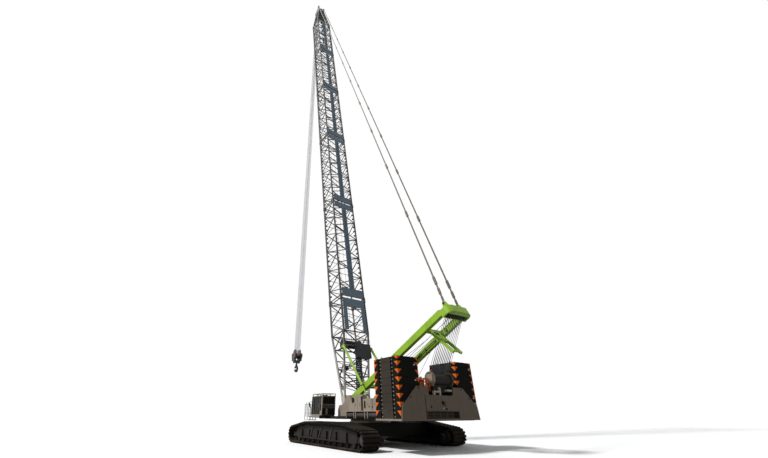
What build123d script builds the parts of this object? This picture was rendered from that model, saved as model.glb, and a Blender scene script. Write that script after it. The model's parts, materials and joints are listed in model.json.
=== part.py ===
from build123d import *
import math
import os

# Lattice boom crawler crane as a half-size model: every length below is in millimetres of the model.
# X points forward to the boom side, Y to the left, Z up, and the slewing axis is at X 0 before the shift.

# ----- tracks and undercarriage -----
track_length = 5045
track_gauge = 3730
shoe_width = 610
shoe_count = 84
shoe_gap = 20
shoe_depth = 26
link_depth = 36
link_width = 300
end_radius = 285
end_height = 292
top_height = 738
top_roller_x = 1150
ground_roller_inset = 572
ground_roller_x = track_length / 2 - ground_roller_inset
roller_radius = 84
roller_count = 11
roller_sides = 12
wheel_sides = 24
sheave_sides = 16
rod_sides = 8
frame_width = 330
frame_rib_count = 6
beam_x = 930
beam_width = 460
beam_bottom = 300
beam_top = 700
beam_end_top = 640
centre_top = 690
ring_bottom = 700
ring_radius = 760

# ----- platform -----
deck_bottom = 800
deck_top = 1060
frame_rear = -3480
frame_front = 1080
main_beam_y = 700
main_beam_width = 110
main_beam_top = 1290
beam_front = 730
cross_top = 1230
locker_gap = 19
locker_deep = 96
left_deck_front = 120
left_deck_edge = 1180
left_deck_top = 1064
tank_radius = 96
tank_z = 936
side_deck_y = 1550
pin_radius = 44
pin_play = 2

# ----- counterweights -----
stack_rear = -3535
stack_depth = 1080
stack_outer = 1630
stack_width = 800
stack_bottom = 850
slab_height = 216
top_slab_height = 143
slab_count = 8
slab_gap = 6
tray_thick = 46
rear_plate_thick = 36
rear_plate_half = 1640
tail_hole_y = 480
tail_hole_z = 1155
tail_hole_radius = 34
tow_y = -85
tow_z = 1235
tow_width = 50
tow_reach = 80
tow_bore = 20

# ----- cab -----
cab_rear = 1110
cab_length = 915
cab_inner = 850
cab_width = 600
cab_floor = 925
cab_height = 690
cab_skin = 26
cab_rear_lean = 50
cab_sill = 158
cab_header = 40
rear_sill = 390
door_gap = 6

# ----- boom -----
foot_x = 865
foot_z = 1170
boom_angle = 81.84
foot_half = 588
butt_length = 4620
spread_end = 3000
backstop_y = 715
backstop_top_s = 2300
backstop_foot_x = -790
backstop_foot_z = 1575
backstop_gap = 78
pad_length = 120
pad_radius = 52
section_length = 6000
section_count = 5
section_width = 1300
section_depth = 985
chord_flat = 86
brace_size = 36
bays = 5
head_length = 4115
head_sheave_radius = 170
head_sheave_back = 235
head_sheave_reach = 495
rope_pitch = 60
groove_depth = 20

# ----- mast -----
mast_foot_x = 288
mast_foot_z = 1500
mast_foot_y = 565
mast_tilt = 25.55
mast_leg_length = 5180
mast_pin_beyond = 190
mast_pin_rise = 256
mast_leg_deep = 210
mast_leg_wide = 150
mast_head_half = 520
mast_head_length = 364
mast_head_rise = 54
mast_head_thick = 240
mast_sheave_radius = 90
mast_sheave_pitch = 96
pendant_y = 320
pendant_bars = 11
mast_cross_low = 900
mast_cross_mid = 2700
mast_cross_high = 4300
strut_reach = -1030
strut_along = 400
strut_y = 170

# ----- hook -----
hook_top = 4300
hook_sheave_radius = 165
bowl_radius = 92

# The whole crane is moved by this much so that its box is centred on the origin.
shift_x = -1138

os.makedirs("parts", exist_ok=True)


def save(name, shape):
    moved = Pos(shift_x, 0, 0) * shape
    export_step(moved, "parts/" + name + ".step")


def block(x0, x1, y0, y1, z0, z1):
    return Pos((x0 + x1) / 2, (y0 + y1) / 2, (z0 + z1) / 2) * Box(x1 - x0, y1 - y0, z1 - z0)


def drum(x, z, radius, y0, y1):
    return Pos(x, (y0 + y1) / 2, z) * Rot(90, 0, 0) * Cylinder(radius, y1 - y0)


def post(x, y, radius, z0, z1):
    return Pos(x, y, (z0 + z1) / 2) * Cylinder(radius, z1 - z0)


def bar(start, end, size, size_b=None, x_dir=None):
    a = Vector(*start)
    b = Vector(*end)
    along = b - a
    if x_dir is None:
        plane = Plane(origin=a, z_dir=along)
    else:
        plane = Plane(origin=a, x_dir=x_dir, z_dir=along)
    wide = size if size_b is None else size_b
    return plane * Box(size, wide, along.length, align=(Align.CENTER, Align.CENTER, Align.MIN))


def rod(start, end, radius):
    a = Vector(*start)
    b = Vector(*end)
    along = b - a
    return Plane(origin=a, z_dir=along) * Cylinder(radius, along.length, align=(Align.CENTER, Align.CENTER, Align.MIN))


def plate(points, y0, y1):
    face = make_face(Polyline([(x, 0, z) for x, z in points], close=True))
    return Pos(0, (y0 + y1) / 2, 0) * extrude(face, (y1 - y0) / 2, dir=(0, 1, 0), both=True)


def prism(x, z, radius, y0, y1, sides):
    # A many-sided disc along Y, with its flats at the given radius.
    face = Plane(origin=(x, y0, z), z_dir=(0, 1, 0)) * RegularPolygon(radius, sides, major_radius=False)
    return extrude(face, y1 - y0, dir=(0, 1, 0))


def sided_rod(start, end, radius, sides, x_dir=None):
    a = Vector(*start)
    b = Vector(*end)
    along = b - a
    plane = Plane(origin=a, z_dir=along) if x_dir is None else Plane(origin=a, x_dir=x_dir, z_dir=along)
    ring = plane * RegularPolygon(radius, sides, major_radius=False, rotation=180 / sides)
    return extrude(ring, along.length, dir=along)


def join(shapes):
    whole = shapes[0]
    rest = shapes[1:]
    if rest:
        whole = whole + rest
    return whole


def group(shapes):
    return Compound([solid for shape in shapes for solid in shape.solids()])


# ===== tracks =====
# The belt follows the outline round the end wheels, the ground rollers and the raised top rollers.
def belt_outline(offset):
    circles = [
        (track_length / 2 - end_radius, end_height, end_radius),
        (end_radius - track_length / 2, end_height, end_radius),
        (ground_roller_x, 140, 140),
        (-ground_roller_x, 140, 140),
        (top_roller_x, top_height - 120, 120),
        (-top_roller_x, top_height - 120, 120),
    ]
    points = []
    for step in range(240):
        turn = 2 * math.pi * step / 240
        nx = math.cos(turn)
        nz = math.sin(turn)
        best = max(circles, key=lambda c: c[0] * nx + c[1] * nz + c[2])
        points.append((best[0] + (best[2] - offset) * nx, best[1] + (best[2] - offset) * nz))
    return points


def along_outline(points, distance):
    total = 0
    count = len(points)
    for i in range(count):
        x0, z0 = points[i]
        x1, z1 = points[(i + 1) % count]
        length = math.hypot(x1 - x0, z1 - z0)
        if length > 0 and total + length >= distance:
            part = (distance - total) / length
            return (x0 + (x1 - x0) * part, z0 + (z1 - z0) * part)
        total += length
    return points[0]


def outline_length(points):
    total = 0
    for i in range(len(points)):
        x0, z0 = points[i]
        x1, z1 = points[(i + 1) % len(points)]
        total += math.hypot(x1 - x0, z1 - z0)
    return total


def toothed(points, count, gap, depth):
    pitch = outline_length(points) / count
    result = []
    for i in range(count):
        a = along_outline(points, i * pitch + gap / 2)
        b = along_outline(points, (i + 1) * pitch - gap / 2)
        dx = b[0] - a[0]
        dz = b[1] - a[1]
        size = math.hypot(dx, dz)
        inward = (-dz / size * depth, dx / size * depth)
        result.append((a[0] + inward[0], a[1] + inward[1]))
        result.append(a)
        result.append(b)
        result.append((b[0] + inward[0], b[1] + inward[1]))
    return result


def evenly(points, count):
    pitch = outline_length(points) / count
    return [along_outline(points, (i + 0.5) * pitch) for i in range(count)]


outer = belt_outline(0)
shoe_back = evenly(belt_outline(shoe_depth + 14), shoe_count)
link_back = evenly(belt_outline(shoe_depth + link_depth + 14), shoe_count)
shoe_face = make_face(Polyline([(x, 0, z) for x, z in toothed(outer, shoe_count, shoe_gap, shoe_depth)], close=True))
shoe_hole = make_face(Polyline([(x, 0, z) for x, z in shoe_back], close=True))
link_hole = make_face(Polyline([(x, 0, z) for x, z in link_back], close=True))
shoe_band = extrude(shoe_face - shoe_hole, shoe_width / 2, dir=(0, 1, 0), both=True)
link_face = make_face(Polyline([(x, 0, z) for x, z in evenly(belt_outline(shoe_depth + 6), shoe_count)], close=True))
link_band = extrude(link_face - link_hole, link_width / 2, dir=(0, 1, 0), both=True)
belt = shoe_band + link_band
save("tracks", group([Pos(0, side * track_gauge / 2, 0) * belt for side in (1, -1)]))

# Side frames carry the rollers inside the belt.
belt_depth = shoe_depth + link_depth + 14
wheel_radius = end_radius - belt_depth - 16
wheel_x = track_length / 2 - end_radius
frame_top = top_height - belt_depth - 62
frame_end_top = frame_top - 120
frame_points = [
    (-wheel_x + wheel_radius + 90, 190),
    (wheel_x - wheel_radius - 90, 190),
    (wheel_x - wheel_radius - 25, 290),
    (wheel_x - wheel_radius - 25, frame_end_top),
    (top_roller_x + 60, frame_top),
    (-top_roller_x - 60, frame_top),
    (-wheel_x + wheel_radius + 25, frame_end_top),
    (-wheel_x + wheel_radius + 25, 290),
]
frame_half = frame_width / 2
side_frame = [plate(frame_points, -frame_half, frame_half)]
fork_top = 360
for end in (-1, 1):
    near = end * (wheel_x - wheel_radius - 60)
    far = end * (wheel_x + 90)
    for side in (-1, 1):
        y = side * (frame_half - 20)
        side_frame.append(block(min(near, far), max(near, far), min(y, y - side * 40), max(y, y - side * 40), 215, fork_top))
rib_reach = 1500
for i in range(frame_rib_count):
    x = rib_reach * (2 * i / (frame_rib_count - 1) - 1)
    side_frame.append(block(x - 16, x + 16, frame_half - 10, frame_half + 60, 215, frame_top - 130))
side_frame.append(block(-1560, 1560, -frame_half, frame_half + 70, 205, 235))
roller_z = belt_depth + roller_radius + 10
for i in range(roller_count):
    x = -ground_roller_x + 130 + (2 * ground_roller_x - 260) * i / (roller_count - 1)
    side_frame.append(prism(x, roller_z, roller_radius, -150, 150, roller_sides))
    side_frame.append(block(x - 30, x + 30, -60, 60, roller_z, 200))
for x in (-top_roller_x, 0, top_roller_x):
    side_frame.append(prism(x, top_height - belt_depth - 10 - 56, 56, -110, 110, roller_sides))
    side_frame.append(block(x - 26, x + 26, -50, 50, top_height - belt_depth - 110, top_height - belt_depth - 60))
side_frame = join(side_frame)
left_frame = Pos(0, track_gauge / 2, 0) * side_frame
save("track_frames", group([left_frame, mirror(left_frame, about=Plane.XZ)]))


wheel_half = 90
wheel_rim = 46
wheel_web = 40
hub_radius = 74
tooth_count = 15
tooth_height = 26


def wheel(toothed_rim):
    if toothed_rim:
        points = []
        for i in range(2 * tooth_count):
            turn = math.pi * (i + 0.5) / tooth_count
            size = wheel_radius if i % 4 in (0, 3) else wheel_radius - tooth_height
            points.append((math.cos(turn) * size, math.sin(turn) * size))
        disc = plate(points, -wheel_half, wheel_half)
    else:
        disc = prism(0, 0, wheel_radius, -wheel_half, wheel_half, wheel_sides)
    for side in (-1, 1):
        near = side * wheel_web
        far = side * (wheel_half + 1)
        disc = disc - prism(0, 0, wheel_radius - wheel_rim, min(near, far), max(near, far), wheel_sides)
    hub = prism(0, 0, hub_radius, -wheel_half - 14, wheel_half + 14, roller_sides)
    return disc + hub


idler = wheel(False)
sprocket = wheel(True)
end_wheels = [Pos(wheel_x, side * track_gauge / 2, end_height) * idler for side in (1, -1)]
end_wheels += [Pos(-wheel_x, side * track_gauge / 2, end_height) * sprocket for side in (1, -1)]
save("track_wheels", group(end_wheels))

# Travel drives sit on the inner side of each rear end.
drive_near = track_gauge / 2 - frame_half + 20
drives = []
for side in (1, -1):
    inner_end = side * (drive_near - 300)
    outer_end = side * (drive_near - 24)
    body = prism(-wheel_x + 10, end_height, 150, min(inner_end, outer_end), max(inner_end, outer_end), wheel_sides)
    motor_end = side * (drive_near - 470)
    motor = prism(-wheel_x + 10, end_height, 84, min(inner_end, motor_end), max(inner_end, motor_end), roller_sides)
    arm_x = -wheel_x + wheel_radius + 80
    link = block(-wheel_x + 10, arm_x, min(outer_end, outer_end - side * 60), max(outer_end, outer_end - side * 60), 220, 360)
    foot_y = side * (track_gauge / 2 - frame_half)
    foot = block(arm_x - 60, arm_x, min(outer_end - side * 60, foot_y), max(outer_end - side * 60, foot_y), 230, 350)
    drives.append(join([body, motor, link, foot]))
save("travel_drives", group(drives))

# Car body: centre box, ring seat and two cross beams that reach the side frames.
beam_end = track_gauge / 2 - frame_half
beam_step_y = track_gauge / 2 - shoe_width / 2 - 20
centre = block(-1000, 1000, -900, 900, 290, centre_top)
corners = []
for sx in (-1, 1):
    for sy in (-1, 1):
        corners.append(Pos(sx * 1000, sy * 900, 490) * Rot(0, 0, 45) * Box(330, 330, 460))
centre = centre - corners
car = [centre, post(0, 0, ring_radius + 60, 630, ring_bottom)]
for side in (-1, 1):
    x = side * beam_x
    half = beam_width / 2
    car.append(block(x - half, x + half, -beam_end, beam_end, beam_bottom, beam_end_top))
    car.append(block(x - half, x + half, -beam_step_y, beam_step_y, beam_bottom, beam_top))
    car.append(block(x - half - 30, x + half + 30, -beam_end, -beam_end + 50, beam_bottom - 40, 580))
    car.append(block(x - half - 30, x + half + 30, beam_end - 50, beam_end, beam_bottom - 40, 580))
for sx in (-1, 1):
    for sy in (-1, 1):
        car.append(block(sx * 330 - 20, sx * 330 + 20, sy * 880, sy * 1010, 400, 620) if sy > 0 else block(sx * 330 - 20, sx * 330 + 20, -1010, -880, 400, 620))
lower_ring = post(0, 0, ring_radius, ring_bottom, ring_bottom + 46) - post(0, 0, ring_radius - 130, ring_bottom - 1, ring_bottom + 47)
save("slewing_ring", lower_ring)

# Steps hang on the car body between the cross beams.
steps = []
for side in (-1, 1):
    y0 = side * 880
    y1 = side * 1160
    rails = [block(x - 12, x + 12, min(y0, y1), max(y0, y1), 470, 494) for x in (-200, 200)]
    treads = [block(-212, 212, min(y0, y1) + 40 + 90 * k, min(y0, y1) + 90 + 90 * k, 480, 500) for k in range(3)]
    steps.append(join(rails + treads))
save("car_body", join(car + steps))

# The boom leans back from upright by this much, and its points are found from the foot pin.
lean = 90 - boom_angle
to_world_x = math.sin(math.radians(lean))
to_world_z = math.cos(math.radians(lean))
half_wide = section_width / 2
half_deep = section_depth / 2


def butt_corner(s, deep, side):
    part = min(1, max(0, (s - 120) / (spread_end - 120)))
    x = 45 + (half_deep - 45) * part
    y = foot_half + (half_wide - foot_half) * part
    return (deep * x, side * y, s)


rear_there = butt_corner(backstop_top_s, -1, 1)
backstop_top_x = foot_x + backstop_top_s * to_world_x + (rear_there[0] - 95) * to_world_z
backstop_top_z = foot_z + backstop_top_s * to_world_z - (rear_there[0] - 95) * to_world_x

# ===== platform =====
beam_half = main_beam_width / 2
beam_inner = main_beam_y - beam_half
deck_rear = -2330
turntable = post(0, 0, ring_radius - 20, ring_bottom + 52, deck_bottom + 20)
floor_plate = block(frame_rear, frame_front, -beam_inner - 20, beam_inner + 20, deck_bottom, deck_bottom + 40)
front_cross = block(frame_front - 60, frame_front, -beam_inner - 20, beam_inner + 20, deck_bottom, 960)
mid_cross = block(-120, -60, -beam_inner - 20, beam_inner + 20, deck_bottom, cross_top)
rear_cross = block(-1960, -1900, -beam_inner - 20, beam_inner + 20, deck_bottom, cross_top)
tail_cross = block(frame_rear, frame_rear + 50, -beam_inner - 20, beam_inner + 20, deck_bottom, deck_top)
platform = [turntable, floor_plate, front_cross, mid_cross, rear_cross, tail_cross]
beam_points = [
    (frame_rear, deck_bottom),
    (frame_front, deck_bottom),
    (frame_front, foot_z - 60),
    (frame_front - 90, foot_z + 110),
    (beam_front, foot_z + 120),
    (mast_foot_x + 160, mast_foot_z + 110),
    (mast_foot_x - 20, mast_foot_z + 110),
    (mast_foot_x - 180, mast_foot_z - 100),
    (mast_foot_x - 330, main_beam_top),
    (deck_rear, main_beam_top),
    (frame_rear, deck_top),
]
foot_thick = 90
for side in (-1, 1):
    y = side * main_beam_y
    platform.append(plate(beam_points, y - beam_half, y + beam_half))
    # Foot pins stand inward from the main beams, one for the boom and one for the mast.
    boom_pin_end = side * (foot_half - foot_thick / 2 - 12)
    mast_pin_end = side * (mast_foot_y - mast_leg_wide / 2 - 12)
    outside = side * (main_beam_y + beam_half)
    platform.append(drum(foot_x, foot_z, pin_radius, min(boom_pin_end, outside), max(boom_pin_end, outside)))
    platform.append(drum(mast_foot_x, mast_foot_z, pin_radius, min(mast_pin_end, outside), max(mast_pin_end, outside)))
# Backstop pads stand on the main beams and face the backstops.
pads = []
for side in (-1, 1):
    y = side * backstop_y
    top = Vector(backstop_top_x, y, backstop_top_z)
    foot = Vector(backstop_foot_x, y, backstop_foot_z)
    direction = (foot - top).normalized()
    face_start = foot + direction * backstop_gap
    post_x = backstop_foot_x - 190
    pads.append(block(post_x, post_x + 200, y - 40, y + 40, main_beam_top - 10, backstop_foot_z - 135))
    pads.append(rod(face_start, face_start + direction * pad_length, pad_radius))
save("platform_frame", join(platform + pads))

# Side decks: long boxes with a lower row of tanks, left and right of the main beams.
deck_inner = main_beam_y + beam_half
deck_front = 520
# The left one is a narrow deck with lockers of different heights, and an arched cover on the tallest.
left_side = [block(deck_rear, left_deck_front, deck_inner, left_deck_edge, left_deck_top - 24, left_deck_top)]
locker_y0 = deck_inner + locker_gap
locker_y1 = locker_y0 + locker_deep
# Each locker as its rear end, front end and top.
lockers = [(deck_rear, -1285, 1450), (-1270, -765, 1450), (-630, -235, 1530), (-225, left_deck_front, 1370)]
for x0, x1, top in lockers:
    left_side.append(block(x0, x1, locker_y0, locker_y1, left_deck_top, top))
cover_points = [(-740, 1530), (-110, 1530), (-110, 1550), (-280, 1598), (-560, 1604), (-740, 1570)]
left_side.append(plate(cover_points, locker_y0, locker_y1))
for y in (deck_inner + 120, left_deck_edge - 105):
    left_side.append(sided_rod((deck_rear + 120, y, tank_z), (left_deck_front - 235, y, tank_z), tank_radius, roller_sides))
for x in (-1900, -1270, -640, -160):
    left_side.append(block(x - 22, x + 22, deck_inner, left_deck_edge, tank_z + 60, left_deck_top - 20))
    left_side.append(block(x - 22, x + 22, left_deck_edge - 34, left_deck_edge, 812, left_deck_top - 20))
save("left_cabinets", join(left_side))

house_points = [
    (deck_rear, 1000),
    (deck_front, 1000),
    (deck_front, 1700),
    (deck_front - 160, 1900),
    (deck_rear + 60, 1900),
    (deck_rear, 1840),
]
house_inner = deck_inner + 45
house = plate(house_points, -side_deck_y, -house_inner)
inner_points = [
    (deck_rear + 30, 1030),
    (deck_front - 30, 1030),
    (deck_front - 30, 1690),
    (deck_front - 176, 1870),
    (deck_rear + 70, 1870),
    (deck_rear + 30, 1826),
]
house = house - plate(inner_points, -side_deck_y + 30, -house_inner - 30)
vents = []
for k in range(7):
    z = 1230 + 62 * k
    vents.append(block(-900, -80, -side_deck_y - 5, -side_deck_y + 35, z, z + 34))
    vents.append(block(deck_rear - 5, deck_rear + 35, -side_deck_y + 120, -deck_inner - 120, z, z + 34))
house = house - vents
brackets = [block(x - 40, x + 40, -house_inner - 20, -deck_inner, 1010, 1090) for x in (-2100, -1250, -400, 400)]
exhaust_x = -1500
exhaust_y = -1300
exhaust_step = 2130
exhaust_top = 2230
filter_x = -1060
house_top = 1890
exhaust = [
    post(exhaust_x, exhaust_y, 62, house_top, exhaust_step),
    post(exhaust_x, exhaust_y, 48, exhaust_step - 10, exhaust_top),
    post(filter_x, exhaust_y, 120, house_top, house_top + 85),
]
save("engine_house", join([house] + exhaust + brackets))

# ===== counterweights =====
tray_y = stack_outer + 10
tray = [block(stack_rear - 5, stack_rear + stack_depth + 20, -tray_y, tray_y, stack_bottom - tray_thick, stack_bottom)]
cut_front = block(frame_rear, stack_rear + stack_depth + 40, -stack_outer + stack_width + 20, stack_outer - stack_width - 20, 700, 1000)
tray = [tray[0] - cut_front]
save("counterweight_tray", tray[0])
plate_top = 1700
plate_dip = 1470
outline = [
    (-rear_plate_half, deck_bottom),
    (rear_plate_half, deck_bottom),
    (1590, 1170),
    (1000, plate_top),
    (550, plate_top),
    (530, plate_dip),
    (-500, plate_dip),
    (-560, plate_top + 10),
    (-1000, plate_top),
    (-1590, 1170),
]
rear_face = make_face(Polyline([(0, y, z) for y, z in outline], close=True))
rear_x = stack_rear - 5 - rear_plate_thick
rear_plate = Pos(rear_x, 0, 0) * extrude(rear_face, rear_plate_thick, dir=(1, 0, 0))
rear_plate = rear_plate - block(rear_x - 5, rear_x + 14, -690, 680, 850, 1060)
tail_hole = Pos(rear_x, tail_hole_y, tail_hole_z) * Rot(0, 90, 0) * Cylinder(tail_hole_radius, 4 * rear_plate_thick)
tow_y0 = tow_y - tow_width / 2
tow_y1 = tow_y + tow_width / 2
tow = block(rear_x - tow_reach, rear_x + 2, tow_y0, tow_y1, tow_z - 55, tow_z + 55)
tow = chamfer(tow.edges().filter_by(Axis.Y).group_by(Axis.X)[0], 26)
tow = tow - drum(rear_x - tow_reach + 44, tow_z, tow_bore, tow_y0 - 5, tow_y1 + 5)
save("rear_plate", join([rear_plate, tow]) - tail_hole)

stack_front = stack_rear + stack_depth
stack_inner = stack_outer - stack_width


def stack():
    slabs = []
    for k in range(slab_count):
        low = stack_bottom + k * slab_height
        tall = top_slab_height if k == slab_count - 1 else slab_height
        high = low + tall - slab_gap
        slab = block(stack_rear, stack_front, stack_inner, stack_outer, low, high)
        # Two upright channels in the outer side hold the lifting lugs.
        for x in (stack_rear + 270, stack_front - 270):
            slab = slab - block(x - 48, x + 48, stack_outer - 70, stack_outer + 5, low - 1, high + 1)
            slab = slab + block(x - 26, x + 26, stack_outer - 72, stack_outer - 26, low + 50, low + 80)
            slab = slab + block(x - 12, x + 12, stack_outer - 46, stack_outer - 22, low + 60, low + 120)
        slabs.append(slab)
        if k < slab_count - 1:
            middle = (stack_inner + stack_outer) / 2
            for x in (stack_rear + 300, stack_front - 300):
                slabs.append(block(x - 60, x + 60, middle - 60, middle + 60, high - 10, high + slab_gap + 10))
    return join(slabs)


left_stack = stack()
save("counterweights", group([left_stack, mirror(left_stack, about=Plane.XZ)]))

# ===== winches =====
winch_width = 420


def winch_frame(x, z, radius, half, foot, leg_half):
    shapes = []
    for side in (-1, 1):
        y = side * half
        cheek = prism(x, z, radius + 26, y - 14, y + 14, wheel_sides)
        leg = block(x - leg_half, x + leg_half, y - 14, y + 14, foot, z)
        shapes.append(cheek + leg)
    base = block(x - leg_half, x + leg_half, -half, half, foot, foot + 24)
    axle = drum(x, z, 40, -half, half)
    return join(shapes + [base, axle])


def winch_drum(x, z, radius, half):
    barrel = prism(x, z, radius * 0.72, -half + 30, half - 30, wheel_sides)
    rims = [prism(x, z, radius, side * (half - 34) - 12, side * (half - 34) + 12, wheel_sides) for side in (-1, 1)]
    return join([barrel] + rims) - drum(x, z, 42, -half - 5, half + 5)


main_winch_x = -560
second_winch_x = -1330
main_winch_z = deck_bottom + 40 + 330
luff_winch_x = -3420
luff_winch_y = -157
luff_winch_z = 1930
luff_winch_half = 402
luff_leg_half = 110
winch_radius = 270
luff_radius = 190
save("main_winch_drum", winch_drum(main_winch_x, main_winch_z, winch_radius, winch_width))
winch_leg_half = winch_radius * 0.72
winch_floor = deck_bottom + 40
winch_frames = [
    winch_frame(x, main_winch_z, winch_radius, winch_width, winch_floor, winch_leg_half)
    for x in (main_winch_x, second_winch_x)
]
save("winch_frames", group(winch_frames))
save("second_winch_drum", winch_drum(second_winch_x, main_winch_z, winch_radius, winch_width))
# The luffing winch stands on a pedestal just ahead of the rear plate, a little right of the middle.
luff_floor = 1560
luff_frame = winch_frame(luff_winch_x, luff_winch_z, luff_radius, luff_winch_half, luff_floor, luff_leg_half)
pedestal_front = luff_winch_x + luff_leg_half + 20
pedestal = []
for side in (-1, 1):
    y = side * luff_winch_half
    pedestal.append(block(frame_rear + 54, pedestal_front, y - 20, y + 20, winch_floor, luff_floor + 10))
pedestal.append(block(pedestal_front - 30, pedestal_front, -luff_winch_half, luff_winch_half, 1080, luff_floor))
luff_place = Pos(0, luff_winch_y, 0)
save("luffing_winch_frame", luff_place * join([luff_frame] + pedestal))
luff_drum = winch_drum(luff_winch_x, luff_winch_z, luff_radius, luff_winch_half)
save("luffing_winch_drum", luff_place * luff_drum)

# ===== walkways =====
walk_wide = 250
walk_low = 1040
walk_top = 1062
walk_front = 1040
rail_half = 11
rail_y = side_deck_y + walk_wide - 17
rail_low = 1280
rail_high = 1512
rail_start = deck_rear + 30 - rail_half
rail_end = walk_front - 30 + rail_half
walk = [block(deck_rear, walk_front, side_deck_y, side_deck_y + walk_wide, walk_low, walk_top)]
walk_posts = []
post_count = 6
for k in range(post_count):
    x = rail_start + rail_half + k * (rail_end - rail_start - 2 * rail_half) / (post_count - 1)
    walk_posts.append(block(x - rail_half, x + rail_half, rail_y - rail_half, rail_y + rail_half, walk_top - 2, rail_high - 12))
walk.append(block(rail_start, rail_end, rail_y - rail_half, rail_y + rail_half, rail_high - 2 * rail_half, rail_high))
walk.append(block(rail_start, rail_end, rail_y - rail_half + 2, rail_y + rail_half - 2, rail_low, rail_low + 16))
right_walk = [mirror(shape, about=Plane.XZ) for shape in walk + walk_posts]
save("right_walkway", join(right_walk))

# ===== cab =====
cab_front = cab_rear + cab_length
cab_outer = cab_inner + cab_width
cab_roof = cab_floor + cab_height


def cab_profile(inset):
    low = cab_floor + inset
    high = cab_roof - inset
    return [
        (cab_rear + cab_rear_lean + inset, low),
        (cab_front - inset, low),
        (cab_front - inset, cab_floor + 230),
        (cab_front - 90 - inset, high),
        (cab_rear + inset, high),
    ]


door_x0 = cab_rear + 190
door_x1 = cab_front - 190
door_z0 = cab_floor + 34
door_z1 = cab_roof - 44
skin = cab_skin
shell = plate(cab_profile(0), cab_inner, cab_outer) - plate(cab_profile(skin), cab_inner + skin, cab_outer - skin)
# Window holes: rear, right, roof, front and the quarter light behind the door.
rear_hole = block(cab_rear - 5, cab_rear + cab_rear_lean + skin, cab_inner + 40, cab_outer - 40, cab_floor + rear_sill, cab_roof - cab_header)
right_hole = block(cab_rear + 90, cab_front - 150, cab_inner - 5, cab_inner + skin + 5, cab_floor + cab_sill, cab_roof - cab_header)
roof_hole = block(cab_rear + 250, cab_front - 210, cab_inner + 90, cab_outer - 90, cab_roof - skin - 5, cab_roof + 5)
quarter_hole = block(cab_rear + 90, door_x0 - 26, cab_outer - skin - 5, cab_outer + 5, cab_floor + cab_sill, cab_roof - cab_header)
door_hole = block(door_x0, door_x1, cab_outer - skin - 5, cab_outer + 5, door_z0, door_z1)
front_hole = block(cab_front - 140, cab_front + 20, cab_inner + 45, cab_outer - 45, cab_floor + 110, cab_roof - 46)
strip_hole = block(door_x1 + 26, cab_front - 124, cab_outer - skin - 5, cab_outer + 5, cab_floor + cab_sill, cab_roof - 100)
shell = shell - rear_hole - right_hole - roof_hole - quarter_hole - door_hole - front_hole - strip_hole
pane_in = 9
pane_out = 17
panes = [
    block(cab_rear + 90, cab_front - 150, cab_inner + pane_in, cab_inner + pane_out, cab_floor + cab_sill, cab_roof - cab_header),
    block(cab_rear + 250, cab_front - 210, cab_inner + 90, cab_outer - 90, cab_roof - pane_out, cab_roof - pane_in),
    block(cab_rear + 90, door_x0 - 26, cab_outer - pane_out, cab_outer - pane_in, cab_floor + cab_sill, cab_roof - cab_header),
    block(door_x1 + 26, cab_front - 124, cab_outer - pane_out, cab_outer - pane_in, cab_floor + cab_sill, cab_roof - 100),
]
end_glass = plate(cab_profile(pane_in), cab_inner + 35, cab_outer - 35) - plate(cab_profile(pane_out), cab_inner + 30, cab_outer - 30)
panes.append(end_glass & front_hole)
panes.append(end_glass & rear_hole)
save("cab_glass", group(panes))
gap = door_gap
door = block(door_x0 + gap, door_x1 - gap, cab_outer - skin, cab_outer, door_z0 + gap, door_z1 - gap)
pane_box = [door_x0 + 34, door_x1 - 34, cab_floor + cab_sill, door_z1 - 30]
door = door - block(pane_box[0], pane_box[1], cab_outer - skin - 5, cab_outer + 5, pane_box[2], pane_box[3])
handle = block(door_x1 - 32, door_x1 - 14, cab_outer, cab_outer + 22, door_z0 + 200, door_z0 + 290)
save("cab_door", door + handle)
door_pane = block(pane_box[0], pane_box[1], cab_outer - pane_out, cab_outer - pane_in, pane_box[2], pane_box[3])
save("cab_door_glass", door_pane)
seat_x = cab_rear + 300
mid_y = (cab_inner + cab_outer) / 2
seat = [
    post(seat_x, mid_y, 50, cab_floor + skin, cab_floor + 170),
    block(seat_x - 110, seat_x + 130, mid_y - 115, mid_y + 115, cab_floor + 165, cab_floor + 220),
    block(seat_x - 140, seat_x - 95, mid_y - 105, mid_y + 105, cab_floor + 170, cab_floor + 500),
    block(seat_x - 135, seat_x - 100, mid_y - 60, mid_y + 60, cab_floor + 495, cab_floor + 580),
]
console = [
    block(seat_x - 60, seat_x + 140, side * 165 + mid_y - 32, side * 165 + mid_y + 32, cab_floor + skin, cab_floor + 290) for side in (-1, 1)
]
save("operator_station", group([join(seat)] + console))
# The cab stands on a swung arm that leaves the front of the platform.
arm = [block(-60, cab_front - 60, cab_inner + 20, cab_inner + 260, 806, 900)]
arm.append(block(cab_rear + 60, cab_front - 60, cab_inner + 20, cab_outer - 60, 840, cab_floor))
arm.append(block(-60, 160, deck_inner, cab_inner + 40, 806, 900))
landing = [block(cab_front + 6, cab_front + 270, cab_inner, cab_outer + 110, 872, 896)]
landing.append(block(cab_front - 58, cab_front + 20, cab_inner + 60, cab_inner + 130, 850, 880))
landing.append(block(cab_front - 58, cab_front + 20, cab_outer - 160, cab_outer - 90, 850, 880))
for x in (cab_front + 17, cab_front + 259):
    landing.append(block(x - 11, x + 11, cab_outer + 88, cab_outer + 110, 890, 1390))
for z in (1130, 1379):
    landing.append(block(cab_front + 6, cab_front + 270, cab_outer + 88, cab_outer + 110, z - 11, z + 11))
save("cab_arm", join(arm + landing))
guard = []
for y in (cab_inner + 11, cab_outer - 11):
    for x in (cab_rear + 11, cab_rear + 410, cab_front - 110):
        guard.append(block(x - 11, x + 11, y - 11, y + 11, cab_roof - 10, cab_roof + 70))
    guard.append(block(cab_rear, cab_front - 99, y - 11, y + 11, cab_roof + 60, cab_roof + 82))
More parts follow.
